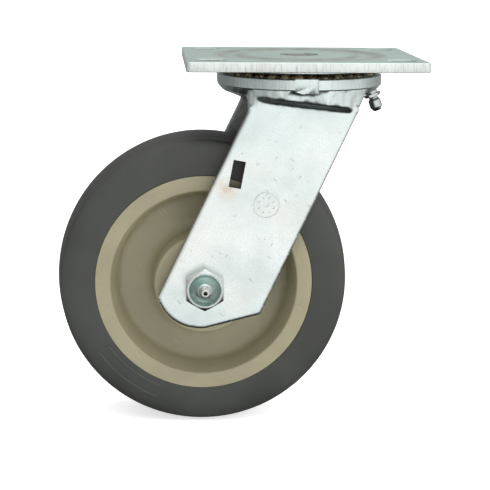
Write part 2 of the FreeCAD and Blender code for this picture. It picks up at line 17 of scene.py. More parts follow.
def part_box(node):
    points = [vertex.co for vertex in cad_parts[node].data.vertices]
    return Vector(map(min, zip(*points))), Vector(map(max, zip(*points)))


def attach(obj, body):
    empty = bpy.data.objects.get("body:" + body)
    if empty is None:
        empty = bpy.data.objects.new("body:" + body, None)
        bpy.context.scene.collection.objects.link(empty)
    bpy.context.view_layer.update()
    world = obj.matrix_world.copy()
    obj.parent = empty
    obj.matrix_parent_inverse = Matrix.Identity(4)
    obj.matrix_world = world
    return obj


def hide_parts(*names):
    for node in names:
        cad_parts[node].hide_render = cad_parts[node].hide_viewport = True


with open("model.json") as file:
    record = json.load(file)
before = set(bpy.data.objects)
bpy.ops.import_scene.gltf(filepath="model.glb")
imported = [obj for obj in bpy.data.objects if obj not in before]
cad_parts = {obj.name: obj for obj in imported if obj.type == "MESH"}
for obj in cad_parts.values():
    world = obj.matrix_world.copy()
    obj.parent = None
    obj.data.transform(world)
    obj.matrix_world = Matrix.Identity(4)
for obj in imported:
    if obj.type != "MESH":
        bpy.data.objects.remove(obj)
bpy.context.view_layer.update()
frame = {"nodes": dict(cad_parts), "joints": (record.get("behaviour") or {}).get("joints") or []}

bl_info = {
    "name": "Swivel plate caster",
    "version": (1, 0, 0),
    "blender": (4, 5, 0),
    "location": "3D View > Sidebar > Caster",
    "description": "Builds the pieces and finishes of a swivel plate caster on its frame",
    "category": "Object",
}

MM = 0.001
JOINTS = {joint["name"]: joint for joint in frame["joints"]}
AXLE = Vector(JOINTS["wheel_spin"]["pos_m"])
KINGPIN = Vector((0.0, 0.0, 0.0))


def span(node, axis):
    """Lowest and highest place of a CAD node along one axis."""
    low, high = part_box(node)
    return low[axis], high[axis]


def length(name, default, text):
    """A size in metres that shows in the panel."""
    return FloatProperty(name=name, description=text, default=default, min=0.0, unit="LENGTH",
                         subtype="DISTANCE", precision=5)


def colour(name, default, text):
    return FloatVectorProperty(name=name, description=text, default=default, size=3,
                               min=0.0, max=1.0, subtype="COLOR")


# ------------------------------------------------------------------ settings
PLATE_X = span("top_plate", 0)[1] * 2
PLATE_Y = span("top_plate", 1)[1] * 2
BOSS_Z = span("top_plate", 2)[0]
TYRE_R = AXLE.z - span("tyre", 2)[0]
TREAD_HALF = span("tyre", 1)[1]
CORE_HALF = span("wheel_core", 1)[1]
CORE_R = AXLE.z - span("wheel_core", 2)[0]
BUSHING_HALF = span("spanner_bushing", 1)[1]
HEAD_Y = span("axle_bolt", 1)[0]
BOLT_END_Y = span("axle_bolt", 1)[1]


class PlateSettings(PropertyGroup):
    size_x: length("Length", PLATE_X, "Top plate along the line of travel")
    size_y: length("Width", PLATE_Y, "Top plate across the line of travel")
    thickness: length("Thickness", 5.0 * MM, "Sheet thickness")
    corner: length("Corner radius", 2.2 * MM, "Radius of the plate's four corners")
    edge: length("Edge rounding", 0.45 * MM, "Roll-over that shearing leaves on the edges")
    slot_width: length("Slot width", 10.3 * MM, "Width of a bolt slot")
    slot_length: length("Slot length", 15.9 * MM, "Bolt slot from end to end")
    inset_x: length("Slot inset along", 12.375 * MM, "Slot centre to the end of the plate")
    inset_y: length("Slot inset across", 14.9 * MM, "Slot centre to the side of the plate")
    race_inner: length("Race inner radius", 31.3 * MM, "Inner edge of the raceway boss")
    race_outer: length("Race outer radius", 41.7 * MM, "Outer edge of the raceway boss")
    dent: length("Pressed depth", 0.75 * MM, "Ring hollow that the press leaves on top")


class ForkSettings(PropertyGroup):
    sheet: length("Thickness", 6.35 * MM, "Steel that the fork is pressed from")
    rim_radius: length("Rim radius", span("fork", 1)[1], "Outside of the race rim")
    rim_height: length("Rim band", 5.7 * MM, "Upright band of the race rim")
    leg_inner: length("Leg inner face", BUSHING_HALF, "Inner face of a leg from the centre plane")
    bend: length("Bend height", 2.2 * MM, "Height over which the crown's bulge drops back to the leg")
    bend_start: length("Bend start", 23.5 * MM, "Depth below the plate's top where a leg turns flat")
    bend_tilt: FloatProperty(name="Bend tilt", description="Fall of the bend line towards the front",
                             default=0.12)
    inner_bend: length("Inner bend radius", 5.0 * MM, "Inside bend between crown and leg")
    foot_radius: length("Foot radius", 22.0 * MM, "Round foot below the axle")
    voxel: length("Grid", 0.7 * MM, "Grid on which the bends are blended")
    soften: IntProperty(name="Edge softening", description="Passes that round the sheared edges",
                        default=5, min=0, max=40)
    blend: IntProperty(name="Bend softening", description="Passes that blend the crown into the legs",
                       default=6, min=0, max=120)
    slot_width: length("Brake slot width", 6.35 * MM, "Punched slot in each leg")
    slot_height: length("Brake slot height", 14.1 * MM, "Punched slot in each leg")
    notch_width: length("Notch width", 11.7 * MM, "Position-lock notch in the race rim")


class WheelSettings(PropertyGroup):
    tyre_radius: length("Tyre radius", TYRE_R, "Axle to tread")
    half_width: length("Half tread width", TREAD_HALF, "Centre plane to the tyre's side")
    shoulder: length("Shoulder", 8.6 * MM, "Width of the rounding between tread and side")
    crowning: length("Crowning", 1.6 * MM, "Fall of the tread from its middle to its shoulders")
    core_radius: length("Core radius", CORE_R, "Rim of the moulded core")
    rim_ring: length("Rim ring", 7.9 * MM, "Flat ring at the side of the core")
    web: length("Web", 18.8 * MM, "Web between the two side recesses")
    hub_radius: length("Hub radius", 25.5 * MM, "Hub at its end")
    bore: length("Bore radius", 15.9 * MM, "Bore for the bearing sleeve")
    turns: IntProperty(name="Facets", description="Segments round the wheel", default=240, min=24)


class RaceSettings(PropertyGroup):
    ball_radius: length("Ball radius", 3.175 * MM, "Quarter inch ball")
    upper_pitch: length("Upper pitch radius", 36.5 * MM, "Circle through the upper balls")
    upper_count: IntProperty(name="Upper balls", description="Balls in the upper ring", default=34)
    lower_pitch: length("Lower pitch radius", 15.0 * MM, "Circle through the lower balls")
    lower_count: IntProperty(name="Lower balls", description="Balls in the lower ring", default=14)
    roller_count: IntProperty(name="Rollers", description="Rollers in the hub", default=12)


class HardwareSettings(PropertyGroup):
    pin_radius: length("Kingpin radius", 6.35 * MM, "Half inch kingpin and axle bolt")
    across_flats: length("Across flats", 19.05 * MM, "Bolt head and nuts")
    head_height: length("Head height", 8.0 * MM, "Axle bolt head")
    dish_radius: length("Dish radius", 7.5 * MM, "Dished recess in the bolt head")
    dish_depth: length("Dish depth", 3.0 * MM, "Dished recess in the bolt head")
    pitch: length("Thread pitch", 1.95 * MM, "Thirteen threads to the inch")
    edge: length("Edge rounding", 0.18 * MM, "Small break on the edges of nuts and washers")


class FinishSettings(PropertyGroup):
    zinc: colour("Zinc", (0.80, 0.845, 0.82), "Bright zinc plating on the pressings")
    zinc_tint: colour("Zinc tint", (0.60, 0.72, 0.71), "Bluish passivation that shows in patches")
    zinc_stain: colour("Zinc stain", (0.50, 0.47, 0.41), "Dull brownish marks on the plating")
    hardware: colour("Hardware", (0.60, 0.62, 0.60), "Plating on nuts, bolts and fittings")
    # Balls drawn dark brown: greased steel, darkened further as painted shade of the narrow race gap.
    ball: colour("Balls", (0.42, 0.33, 0.20), "Race balls under grease")
    # Near-black grease: real grease, drawn dark enough to serve also as painted shade in the race gap.
    grease: colour("Grease", (0.045, 0.028, 0.012), "Grease in the race")
    tread: colour("Tread", (0.0240, 0.0262, 0.0220), "Soft grey tread")
    core: colour("Core", (0.251, 0.231, 0.145), "Moulded beige core")
    nylon: colour("Nylon", (0.72, 0.74, 0.70), "Locking ring of the axle nut")


class StageSettings(PropertyGroup):
    floor: colour("Floor", (0.93, 0.93, 0.93), "Plain pale floor")
    lens: FloatProperty(name="Lens", description="Focal length in millimetres", default=107.49)
    camera: FloatVectorProperty(name="Camera", description="Where the camera stands", size=3,
                                default=(-0.07692, -0.76332, 0.05804), subtype="TRANSLATION",
                                precision=5)
    heading: FloatProperty(name="Heading", description="Turn from +Y towards +X",
                           default=math.radians(3.726), subtype="ANGLE")
    dip: FloatProperty(name="Dip", description="How far the camera looks down",
                       default=math.radians(11.774), subtype="ANGLE")
    roll: FloatProperty(name="Roll", description="Camera roll",
                        default=math.radians(0.571), subtype="ANGLE")


# ------------------------------------------------------------------ mesh helpers
def link(name, mesh):
    piece = bpy.data.objects.new(name, mesh)
    bpy.context.scene.collection.objects.link(piece)
    return piece


def to_mesh(bm, name):
    """Merge doubles, turn the faces outwards and hand the work over as a mesh."""
    bmesh.ops.remove_doubles(bm, verts=bm.verts, dist=1e-7)
    bmesh.ops.recalc_face_normals(bm, faces=bm.faces)
    mesh = bpy.data.meshes.new(name)
    bm.to_mesh(mesh)
    bm.free()
    return mesh


def rounded(corners, steps=6):
    """Closed (u, v) outline from (u, v, radius) corners, each corner eased into an arc."""
    points = []
    count = len(corners)
    for k, (u, v, radius) in enumerate(corners):
        here = Vector((u, v))
        back = Vector(corners[k - 1][:2]) - here
        ahead = Vector(corners[(k + 1) % count][:2]) - here
        if radius <= 0 or back.length < 1e-9 or ahead.length < 1e-9:
            points.append(here)
            continue
        opening = back.angle(ahead)
        if opening > math.pi - 0.02:
            points.append(here)
            continue
        reach = radius / math.tan(opening / 2)
        reach = min(reach, back.length * 0.499, ahead.length * 0.499)
        radius = reach * math.tan(opening / 2)
        middle = (back.normalized() + ahead.normalized()).normalized()
        centre = here + middle * (radius / math.sin(opening / 2))
        first = here + back.normalized() * reach - centre
        last = here + ahead.normalized() * reach - centre
        turn = first.angle_signed(last)
        for step in range(steps + 1):
            swing = Matrix.Rotation(-turn * step / steps, 2)
            points.append(centre + swing @ first)
    return points


def lathe(name, outline, turns=96, axis="Z", centre=(0, 0, 0)):
    """Turn a closed (radius, height) outline about an axis. Points on the axis become poles."""
    bm = bmesh.new()
    centre = Vector(centre)
    rings = []
    for radius, height in outline:
        poles = radius < 1e-8
        ring = []
        for k in range(1 if poles else turns):
            angle = 2 * math.pi * k / turns
            across, along = radius * math.cos(angle), radius * math.sin(angle)
            place = Vector((across, along, height)) if axis == "Z" else Vector((across, height, along))
            ring.append(bm.verts.new(place + centre))
        rings.append(ring)
    for k, ring in enumerate(rings):
        other = rings[(k + 1) % len(rings)]
        if len(ring) == 1 and len(other) == 1:
            continue
        for j in range(turns):
            n = (j + 1) % turns
            corners = []
            for corner in (ring[j % len(ring)], ring[n % len(ring)], other[n % len(other)],
                           other[j % len(other)]):
                if corner not in corners:
                    corners.append(corner)
            bm.faces.new(corners)
    return link(name, to_mesh(bm, name))


def sheet(name, outer, holes, low, high, edge):
    """Flat sheet with rounded edges from an outline and its holes, lying along X and Y."""
    curve = bpy.data.curves.new(name, "CURVE")
    curve.dimensions = "2D"
    curve.fill_mode = "BOTH"
    half = (high - low) / 2
    curve.extrude = half - edge
    curve.bevel_depth = edge
    curve.bevel_resolution = 2
    curve.offset = -edge
    for k, outline in enumerate([outer] + holes):
        points = list(outline)
        area = sum(a[0] * b[1] - b[0] * a[1] for a, b in zip(points, points[1:] + points[:1]))
        if (area < 0) == (k == 0):
            points.reverse()
        spline = curve.splines.new("POLY")
        spline.points.add(len(points) - 1)
        for place, (u, v) in zip(spline.points, points):
            place.co = (u, v, 0, 1)
        spline.use_cyclic_u = True
    shape = link(name + "_curve", curve)
    mesh = flattened(shape)
    mesh.transform(Matrix.Translation((0, 0, low + half)))
    bpy.data.objects.remove(shape)
    bm = bmesh.new()
    bm.from_mesh(mesh)
    return link(name, to_mesh(bm, name))


def flattened(piece):
    """The piece's evaluated shape as a plain mesh."""
    bpy.context.view_layer.update()
    graph = bpy.context.evaluated_depsgraph_get()
    return bpy.data.meshes.new_from_object(piece.evaluated_get(graph))


def settle(piece):
    """Apply every modifier of a piece to its mesh."""
    mesh = flattened(piece)
    mesh.name = piece.name
    piece.modifiers.clear()
    piece.data = mesh
    return piece


def combine(piece, others, operation):
    """Exact boolean of a piece with others, which are used up."""
    for other in others:
        tool = piece.modifiers.new(operation, "BOOLEAN")
        tool.operation = operation
        tool.solver = "EXACT"
        tool.object = other
        settle(piece)
        bpy.data.objects.remove(other)
    return piece


def block(name, size, place, turn=None):
    """Box cutter, turned about its own centre and then placed."""
    bm = bmesh.new()
    bmesh.ops.create_cube(bm, size=1.0)
    bmesh.ops.scale(bm, vec=size, verts=bm.verts)
    if turn is not None:
        bmesh.ops.transform(bm, matrix=turn, verts=bm.verts)
    bmesh.ops.translate(bm, vec=place, verts=bm.verts)
    return link(name, to_mesh(bm, name))


def hexagon(name, across_flats, low, high, axis="Z", centre=(0, 0, 0)):
    """Hexagonal prism with flat ends; its corners are turned off to a cone by intersecting it with corner_cone."""
    bm = bmesh.new()
    corner = across_flats / math.sqrt(3)
    start = 0 if axis == "Z" else math.pi / 2
    rings = []
    for height in (low, high):
        ring = []
        for k in range(6):
            angle = start + k * math.pi / 3
            across, along = corner * math.cos(angle), corner * math.sin(angle)
            place = Vector((across, along, height)) if axis == "Z" else Vector((across, height, along))
            ring.append(bm.verts.new(place + Vector(centre)))
        rings.append(ring)
    bm.faces.new(rings[0])
    bm.faces.new(rings[1])
    for k in range(6):
        n = (k + 1) % 6
        bm.faces.new((rings[0][k], rings[0][n], rings[1][n], rings[1][k]))
    return link(name, to_mesh(bm, name))


def corner_cone(name, across_flats, low, high, ends, axis="Z", centre=(0, 0, 0)):
    """Turned solid that trims the corners of a hexagon at the named ends."""
    outer = across_flats / math.sqrt(3) * 1.05
    face_r = across_flats / 2 * 0.96
    drop = (outer - face_r) * math.tan(math.radians(30))
    margin = 2 * MM
    outline = [(0, low - (0 if "low" in ends else margin))]
    outline += [(face_r, low), (outer, low + drop)] if "low" in ends else [(outer, low - margin)]
    outline += [(outer, high - drop), (face_r, high)] if "high" in ends else [(outer, high + margin)]
    outline.append((0, high + (0 if "high" in ends else margin)))
    return lathe(name, outline, 96, axis, centre)


def thread(name, radius, low, high, pitch, axis="Z", centre=(0, 0, 0), turns=72):
    """Threaded rod: its surface is a ring grid whose radius follows the thread's helix."""
    depth = pitch * 0.54
    rows = max(8, int((high - low) / pitch * 12))
    bm = bmesh.new()
    grid = []
    for row in range(rows + 1):
        along = low + (high - low) * row / rows
        ends = min(along - low, high - along) / pitch
        ring = []
        for k in range(turns):
            angle = 2 * math.pi * k / turns
            phase = (along / pitch - k / turns) % 1.0
            valley = abs(2 * phase - 1)
            cut = depth * min(1.0, max(0.0, valley * 1.25 - 0.12))
            cut = max(cut, depth * max(0.0, 1 - ends * 1.6))
            r = radius - cut
            across, up = r * math.cos(angle), r * math.sin(angle)
            place = Vector((across, up, along)) if axis == "Z" else Vector((across, along, up))
            ring.append(bm.verts.new(place + Vector(centre)))
        grid.append(ring)
    for lower, upper in zip(grid, grid[1:]):
        for k in range(turns):
            n = (k + 1) % turns
            bm.faces.new((lower[k], lower[n], upper[n], upper[k]))
    bm.faces.new(grid[0])
    bm.faces.new(grid[-1])
    return link(name, to_mesh(bm, name))


def break_edges(piece, width, angle=32, segments=2):
    """Small bevel on the sharp edges."""
    bevel = piece.modifiers.new("edges", "BEVEL")
    bevel.width = width
    bevel.segments = segments
    bevel.limit_method = "ANGLE"
    bevel.angle_limit = math.radians(angle)
    bevel.miter_outer = "MITER_ARC"
    return settle(piece)


def smooth(piece, angle=30):
    """Smooth shading that keeps the true corners crisp."""
    piece.data.shade_smooth()
    piece.data.set_sharp_from_angle(angle=math.radians(angle))
    return piece


def finish_piece(piece, body, replaced, materials, angle=30):
    """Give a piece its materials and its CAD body."""
    piece.data.materials.clear()
    for material in materials:
        piece.data.materials.append(material)
    smooth(piece, angle)
    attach(piece, body)
    if replaced:
        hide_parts(*replaced)
    return piece


# ------------------------------------------------------------------ finishes
class Finish:
    """A node material in the making, with short calls for the nodes that it needs."""

    def __init__(self, name):
        self.material = bpy.data.materials.new(name)
        self.material.use_nodes = True
        self.tree = self.material.node_tree
        self.tree.nodes.clear()
        self.shader = self.node("ShaderNodeBsdfPrincipled")
        output = self.node("ShaderNodeOutputMaterial")
        self.join(self.shader.outputs["BSDF"], output.inputs["Surface"])
        self.coords = self.node("ShaderNodeTexCoord")

    def node(self, kind, **settings):
        made = self.tree.nodes.new(kind)
        for key, value in settings.items():
            setattr(made, key, value)
        return made

    def join(self, source, target):
        self.tree.links.new(source, target)

    def set(self, **sockets):
        for key, value in sockets.items():
            socket = self.shader.inputs[key.replace("_", " ")]
            if hasattr(value, "links"):
                self.join(value, socket)
            else:
                socket.default_value = value

    def place(self, scale=(1, 1, 1), turn=(0, 0, 0), shift=(0, 0, 0)):
        """Object coordinates, turned first and then stretched for one pattern."""
        mapping = self.node("ShaderNodeMapping", vector_type="TEXTURE")
        mapping.inputs["Location"].default_value = shift
        mapping.inputs["Rotation"].default_value = turn
        mapping.inputs["Scale"].default_value = [1 / stretch for stretch in scale]
        self.join(self.coords.outputs["Object"], mapping.inputs["Vector"])
        return mapping.outputs["Vector"]

    def noise(self, scale, detail=4.0, rough=0.55, distortion=0.0, where=None):
        made = self.node("ShaderNodeTexNoise")
        made.inputs["Scale"].default_value = scale
        made.inputs["Detail"].default_value = detail
        made.inputs["Roughness"].default_value = rough
        made.inputs["Distortion"].default_value = distortion
        self.join(where or self.coords.outputs["Object"], made.inputs["Vector"])
        return made.outputs["Fac"]

    def cells(self, scale, where=None, feature="F1"):
        made = self.node("ShaderNodeTexVoronoi", feature=feature)
        made.inputs["Scale"].default_value = scale
        self.join(where or self.coords.outputs["Object"], made.inputs["Vector"])
        return made.outputs["Distance"]

    def ramp(self, source, stops):
        """Value in, colour or value out, through (place, colour) stops."""
        made = self.node("ShaderNodeValToRGB")
        elements = made.color_ramp.elements
        while len(elements) < len(stops):
            elements.new(0.5)
        for element, (place, shade) in zip(elements, stops):
            element.position = place
            grey = isinstance(shade, (int, float))
            element.color = (shade, shade, shade, 1) if grey else (*shade, 1)
        self.join(source, made.inputs["Fac"])
        return made.outputs["Color"]

    def mix(self, amount, first, second, blend="MIX"):
        made = self.node("ShaderNodeMix", data_type="RGBA", blend_type=blend)
        for socket, value in zip((made.inputs[0], made.inputs[6], made.inputs[7]),
                                 (amount, first, second)):
            if hasattr(value, "links"):
                self.join(value, socket)
            elif isinstance(value, (int, float)):
                socket.default_value = value
            else:
                socket.default_value = (*value, 1)
        return made.outputs[2]

    def sum(self, operation, first, second=0.0, third=0.0):
        made = self.node("ShaderNodeMath", operation=operation)
        for socket, value in zip(made.inputs, (first, second, third)):
            if hasattr(value, "links"):
                self.join(value, socket)
            else:
                socket.default_value = value
        return made.outputs[0]

    def bump(self, height, distance, strength=1.0, under=None):
        made = self.node("ShaderNodeBump")
        made.inputs["Strength"].default_value = strength
        made.inputs["Distance"].default_value = distance
        self.join(height, made.inputs["Height"])
        if under is not None:
            self.join(under, made.inputs["Normal"])
        return made.outputs["Normal"]


def nicks(finish, scale, stretch, turn, seed, share):
    """Sparse short dashes: one thin mark in a few cells of a stretched cell pattern."""
    where = finish.place((scale, scale * stretch, scale * stretch), turn, (seed, seed * 2, seed))
    cells = finish.node("ShaderNodeTexVoronoi", feature="F1")
    cells.inputs["Scale"].default_value = 1.0
    finish.join(where, cells.inputs["Vector"])
    thin = finish.ramp(cells.outputs["Distance"], [(0.10, 1), (0.20, 0)])
    split = finish.node("ShaderNodeSeparateColor")
    finish.join(cells.outputs["Color"], split.inputs["Color"])
    kept = finish.ramp(split.outputs["Red"], [(1 - share - 0.02, 0), (1 - share, 1)])
    broken = finish.ramp(finish.noise(900.0, 2.0), [(0.42, 0), (0.5, 1)])
    return finish.sum("MULTIPLY", finish.sum("MULTIPLY", thin, kept), broken)


def zinc_material(settings, rust_place, name="bright_zinc"):
    """Plated pressing: pale metal with bluish patches, fine grain, scratches and small pits, and painted shade that
    turns it darker and bluer towards the bend.
    """
    finish = Finish(name)
    patches = finish.ramp(finish.noise(24.0, 3.0, 0.5, 0.4), [(0.38, 0), (0.66, 1)])
    grain = finish.noise(1500.0, 3.0, 0.6)
    base = finish.mix(finish.sum("MULTIPLY", patches, 0.5), settings.zinc, settings.zinc_tint)
    warm = finish.ramp(finish.noise(33.0, 2.0, 0.5, 0.0, finish.place(shift=(0.3, 0.1, 0.2))),
                       [(0.58, 0), (0.74, 1)])
    base = finish.mix(finish.sum("MULTIPLY", warm, 0.22), base, (0.86, 0.83, 0.76))
    base = finish.mix(finish.ramp(grain, [(0.35, 0.22), (0.6, 0.0)]), base, (0.45, 0.47, 0.46))
    marks = nicks(finish, 90.0, 7.0, (0.0, 0.65, 0.0), 0.37, 0.16)
    marks = finish.sum("MAXIMUM", marks, nicks(finish, 110.0, 6.0, (0.3, -0.9, 0.2), 1.91, 0.12))
    pits = finish.ramp(finish.cells(190.0), [(0.04, 1), (0.075, 0)])
    rare = finish.ramp(finish.noise(48.0, 1.0), [(0.60, 0), (0.66, 1)])
    marks = finish.sum("MAXIMUM", marks, finish.sum("MULTIPLY", pits, rare))
    base = finish.mix(finish.sum("MULTIPLY", marks, 0.7), base, settings.zinc_stain)
    rough = finish.ramp(finish.noise(60.0, 5.0, 0.6), [(0.3, 0.22), (0.7, 0.36)])
    split = finish.node("ShaderNodeSeparateXYZ")
    finish.join(finish.coords.outputs["Object"], split.inputs["Vector"])
    drawn = finish.ramp(finish.sum("MULTIPLY_ADD", split.outputs["Z"], 160.0, 4.3), [(0.0, 0), (1.0, 1)])
    streaks = finish.sum("MULTIPLY", finish.noise(1.0, 4.0, 0.65, 0.0, finish.place((700, 700, 90))), drawn)
    # Painted shade: the plating is drawn darker and bluer with height, from low on the legs up to the bend and over
    # the crown and plate.
    painted_bend_shade = finish.ramp(finish.sum("MULTIPLY_ADD", split.outputs["Z"], 30.0, 1.65), [(0.0, 0), (1.0, 0.5)])
    base = finish.mix(painted_bend_shade, base, settings.zinc_tint)
    near = finish.node("ShaderNodeVectorMath", operation="DISTANCE")
    finish.join(finish.coords.outputs["Object"], near.inputs[0])
    near.inputs[1].default_value = rust_place
    spot = finish.ramp(finish.sum("MULTIPLY", near.outputs["Value"], 100.0), [(0.15, 1), (0.75, 0)])
    spot = finish.sum("MULTIPLY", spot, finish.ramp(finish.noise(260.0, 4.0, 0.6), [(0.3, 0.15), (0.7, 0.75)]))
    base = finish.mix(spot, base, (0.62, 0.42, 0.25))
    base = finish.mix(finish.ramp(streaks, [(0.50, 0), (0.72, 0.30)]), base, settings.zinc_stain)
    finish.set(Base_Color=base, Roughness=rough, Metallic=1.0)
    relief = finish.bump(streaks, 0.00035, 0.7, finish.bump(grain, 0.00003, 0.45))
    relief = finish.bump(finish.sum("SUBTRACT", 1.0, marks), 0.00008, 0.5, relief)
    finish.set(Normal=relief)
    return finish.material


def sheared_material(settings, name, tone, axis_scale):
    """Cut edge of a pressing: the shear leaves upright tear lines and nicks; tone sets how dark the zinc is drawn.
    At a low tone it is the painted shade on the fork's inside faces.
    """
    finish = Finish(name)
    tears = finish.noise(1.0, 4.0, 0.6, 0.0, finish.place(axis_scale))
    broad = finish.noise(90.0, 4.0, 0.6, 0.5)
    pale = tuple(channel * tone for channel in settings.zinc)
    base = finish.mix(finish.ramp(broad, [(0.35, 0), (0.7, 0.8)]), pale, tuple(c * 0.84 for c in pale))
    base = finish.mix(finish.ramp(tears, [(0.30, 0.6), (0.5, 0.0)]), base, (0.42, 0.44, 0.41))
    finish.set(Base_Color=base, Metallic=0.85,
               Roughness=finish.ramp(tears, [(0.3, 0.55), (0.7, 0.36)]))
    finish.set(Normal=finish.bump(tears, 0.00018, 0.7, finish.bump(broad, 0.0002, 0.4)))
    return finish.material


def plate_material(inner, outer):
    """Upper face of the plate: bluish zinc drawn darker than the rest of the plate, partly its passivation tint and
    partly painted shade, with brownish painted shade in rings at the edges of the pressed race.
    """
    finish = Finish("plate_top_zinc")
    split = finish.node("ShaderNodeSeparateXYZ")
    finish.join(finish.coords.outputs["Object"], split.inputs["Vector"])
    across = finish.sum("MULTIPLY", split.outputs["X"], split.outputs["X"])
    along = finish.sum("MULTIPLY", split.outputs["Y"], split.outputs["Y"])
    radius = finish.sum("SQRT", finish.sum("ADD", across, along))
    wander = finish.sum("MULTIPLY_ADD", finish.noise(45.0, 3.0), 0.010, -0.005)
    radius = finish.sum("ADD", radius, wander)
    scaled = finish.sum("DIVIDE", radius, outer * 1.6)
    edge_in, edge_out = inner / (outer * 1.6), 1 / 1.6
    # Painted shade: dark brownish rings on the sloping edges of the pressed hollow, broken up by noise.
    rings = finish.ramp(scaled, [(edge_in - 0.08, 0.0), (edge_in, 0.75), (edge_in + 0.05, 0.12),
                                 (edge_out - 0.08, 0.28), (edge_out, 0.80), (edge_out + 0.08, 0.0)])
    patches = finish.ramp(finish.noise(30.0, 3.0, 0.5, 0.5), [(0.35, 0), (0.68, 1)])
    # Darker bluish base of the top face: partly passivation tint, partly painted shade.
    dull = (0.58, 0.74, 0.67)
    base = finish.mix(finish.sum("MULTIPLY", patches, 0.5), dull, (0.57, 0.77, 0.73))
    broken = finish.ramp(finish.noise(70.0, 4.0, 0.6), [(0.3, 0.35), (0.62, 1.0)])
    base = finish.mix(finish.sum("MULTIPLY", rings, broken), base, (0.33, 0.30, 0.26))
    grain = finish.noise(1300.0, 3.0, 0.6)
    base = finish.mix(finish.ramp(grain, [(0.35, 0.2), (0.62, 0.0)]), base, (0.35, 0.36, 0.34))
    marks = nicks(finish, 80.0, 7.0, (0.3, 0.2, 0.9), 0.83, 0.2)
    base = finish.mix(finish.sum("MULTIPLY", marks, 0.5), base, (0.30, 0.28, 0.24))
    finish.set(Base_Color=base, Metallic=0.8,
               Roughness=finish.ramp(finish.noise(80.0, 4.0), [(0.3, 0.26), (0.7, 0.38)]))
    finish.set(Normal=finish.bump(grain, 0.00003, 0.5))
    return finish.material


def hardware_material(settings, name="plated_hardware", tint=1.0, film_shade=None):
    """Plated nuts, bolts and fittings: smoother and darker than the pressings."""
    finish = Finish(name)
    film = finish.ramp(finish.noise(160.0, 3.0, 0.5, 0.4), [(0.36, 0), (0.66, 1)])
    shade = tuple(channel * tint for channel in settings.hardware)
    film = finish.sum("MULTIPLY_ADD", film, 0.5, 0.4 if film_shade else 0.0)
    base = finish.mix(film, shade, film_shade or settings.zinc_tint)
    lines = finish.noise(1.0, 3.0, 0.6, 0.0, finish.place((900, 2600, 900)))
    base = finish.mix(finish.ramp(lines, [(0.3, 0.28), (0.55, 0.0)]), base, (0.24, 0.24, 0.23))
    finish.set(Base_Color=base, Metallic=1.0,
               Roughness=finish.ramp(finish.noise(300.0, 4.0), [(0.3, 0.28), (0.7, 0.42)]))
    finish.set(Normal=finish.bump(lines, 0.00002, 0.4))
    return finish.material


def pin_material(settings):
    """Kingpin: peened end, dull and brownish in blotches."""
    finish = Finish("worn_kingpin")
    blotch = finish.ramp(finish.noise(330.0, 4.0, 0.6, 0.5), [(0.42, 0), (0.58, 1)])
    shade = tuple(channel * 0.75 for channel in settings.hardware)
    base = finish.mix(blotch, shade, (0.17, 0.15, 0.13))
    finish.set(Base_Color=base, Metallic=0.9,
               Roughness=finish.ramp(blotch, [(0.0, 0.32), (1.0, 0.55)]))
    finish.set(Normal=finish.bump(blotch, 0.0002, 0.6))
    return finish.material


def steel_material(settings, name, shade, rough=0.25):
    """Ground bearing steel with a film of grease that pools in patches."""
    finish = Finish(name)
    film = finish.ramp(finish.noise(420.0, 3.0, 0.6), [(0.42, 0), (0.58, 1)])
    base = finish.mix(film, shade, settings.grease)
    finish.set(Base_Color=base, Metallic=0.75,
               Roughness=finish.ramp(film, [(0.0, rough), (1.0, rough + 0.15)]))
    finish.set(Coat_Weight=0.4, Coat_Roughness=0.15)
    finish.set(Normal=finish.bump(film, 0.00015, 0.4))
    return finish.material


def grease_material(settings):
    finish = Finish("grease_with_painted_glints")
    lumps_and_painted_glints = finish.noise(520.0, 4.0, 0.6, 0.4)
    # Amber patches: thin grease, and at the same time painted glints on the dark grease.
    base = finish.mix(finish.ramp(lumps_and_painted_glints, [(0.52, 0), (0.68, 1)]), settings.grease, (0.42, 0.27, 0.11))
    finish.set(Base_Color=base, Roughness=0.28, Coat_Weight=0.6, Coat_Roughness=0.12)
    finish.set(Normal=finish.bump(lumps_and_painted_glints, 0.0006, 0.7))
    return finish.material


def tread_material(settings, name, tone):
    """Soft grey rubber: even and matt, a little lighter where it is dusty, with fine mould grain."""
    finish = Finish(name)
    cloud = finish.noise(26.0, 4.0, 0.55, 0.3)
    shade = tuple(channel * tone for channel in settings.tread)
    dusty = tuple(channel * 1.3 + 0.004 for channel in shade)
    base = finish.mix(finish.ramp(cloud, [(0.36, 0), (0.68, 1)]), shade, dusty)
    specks = finish.ramp(finish.cells(330.0), [(0.03, 1), (0.055, 0)])
    rare = finish.ramp(finish.noise(60.0, 1.0), [(0.55, 0), (0.62, 1)])
    base = finish.mix(finish.sum("MULTIPLY", finish.sum("MULTIPLY", specks, rare), 0.5), base,
                      (0.16, 0.155, 0.14))
    grain = finish.noise(2400.0, 2.0, 0.6)
    finish.set(Base_Color=base, Roughness=finish.ramp(cloud, [(0.3, 0.50), (0.7, 0.62)]))
    finish.shader.inputs["Specular IOR Level"].default_value = 0.6
    finish.set(Normal=finish.bump(grain, 0.00002, 0.5))
    return finish.material


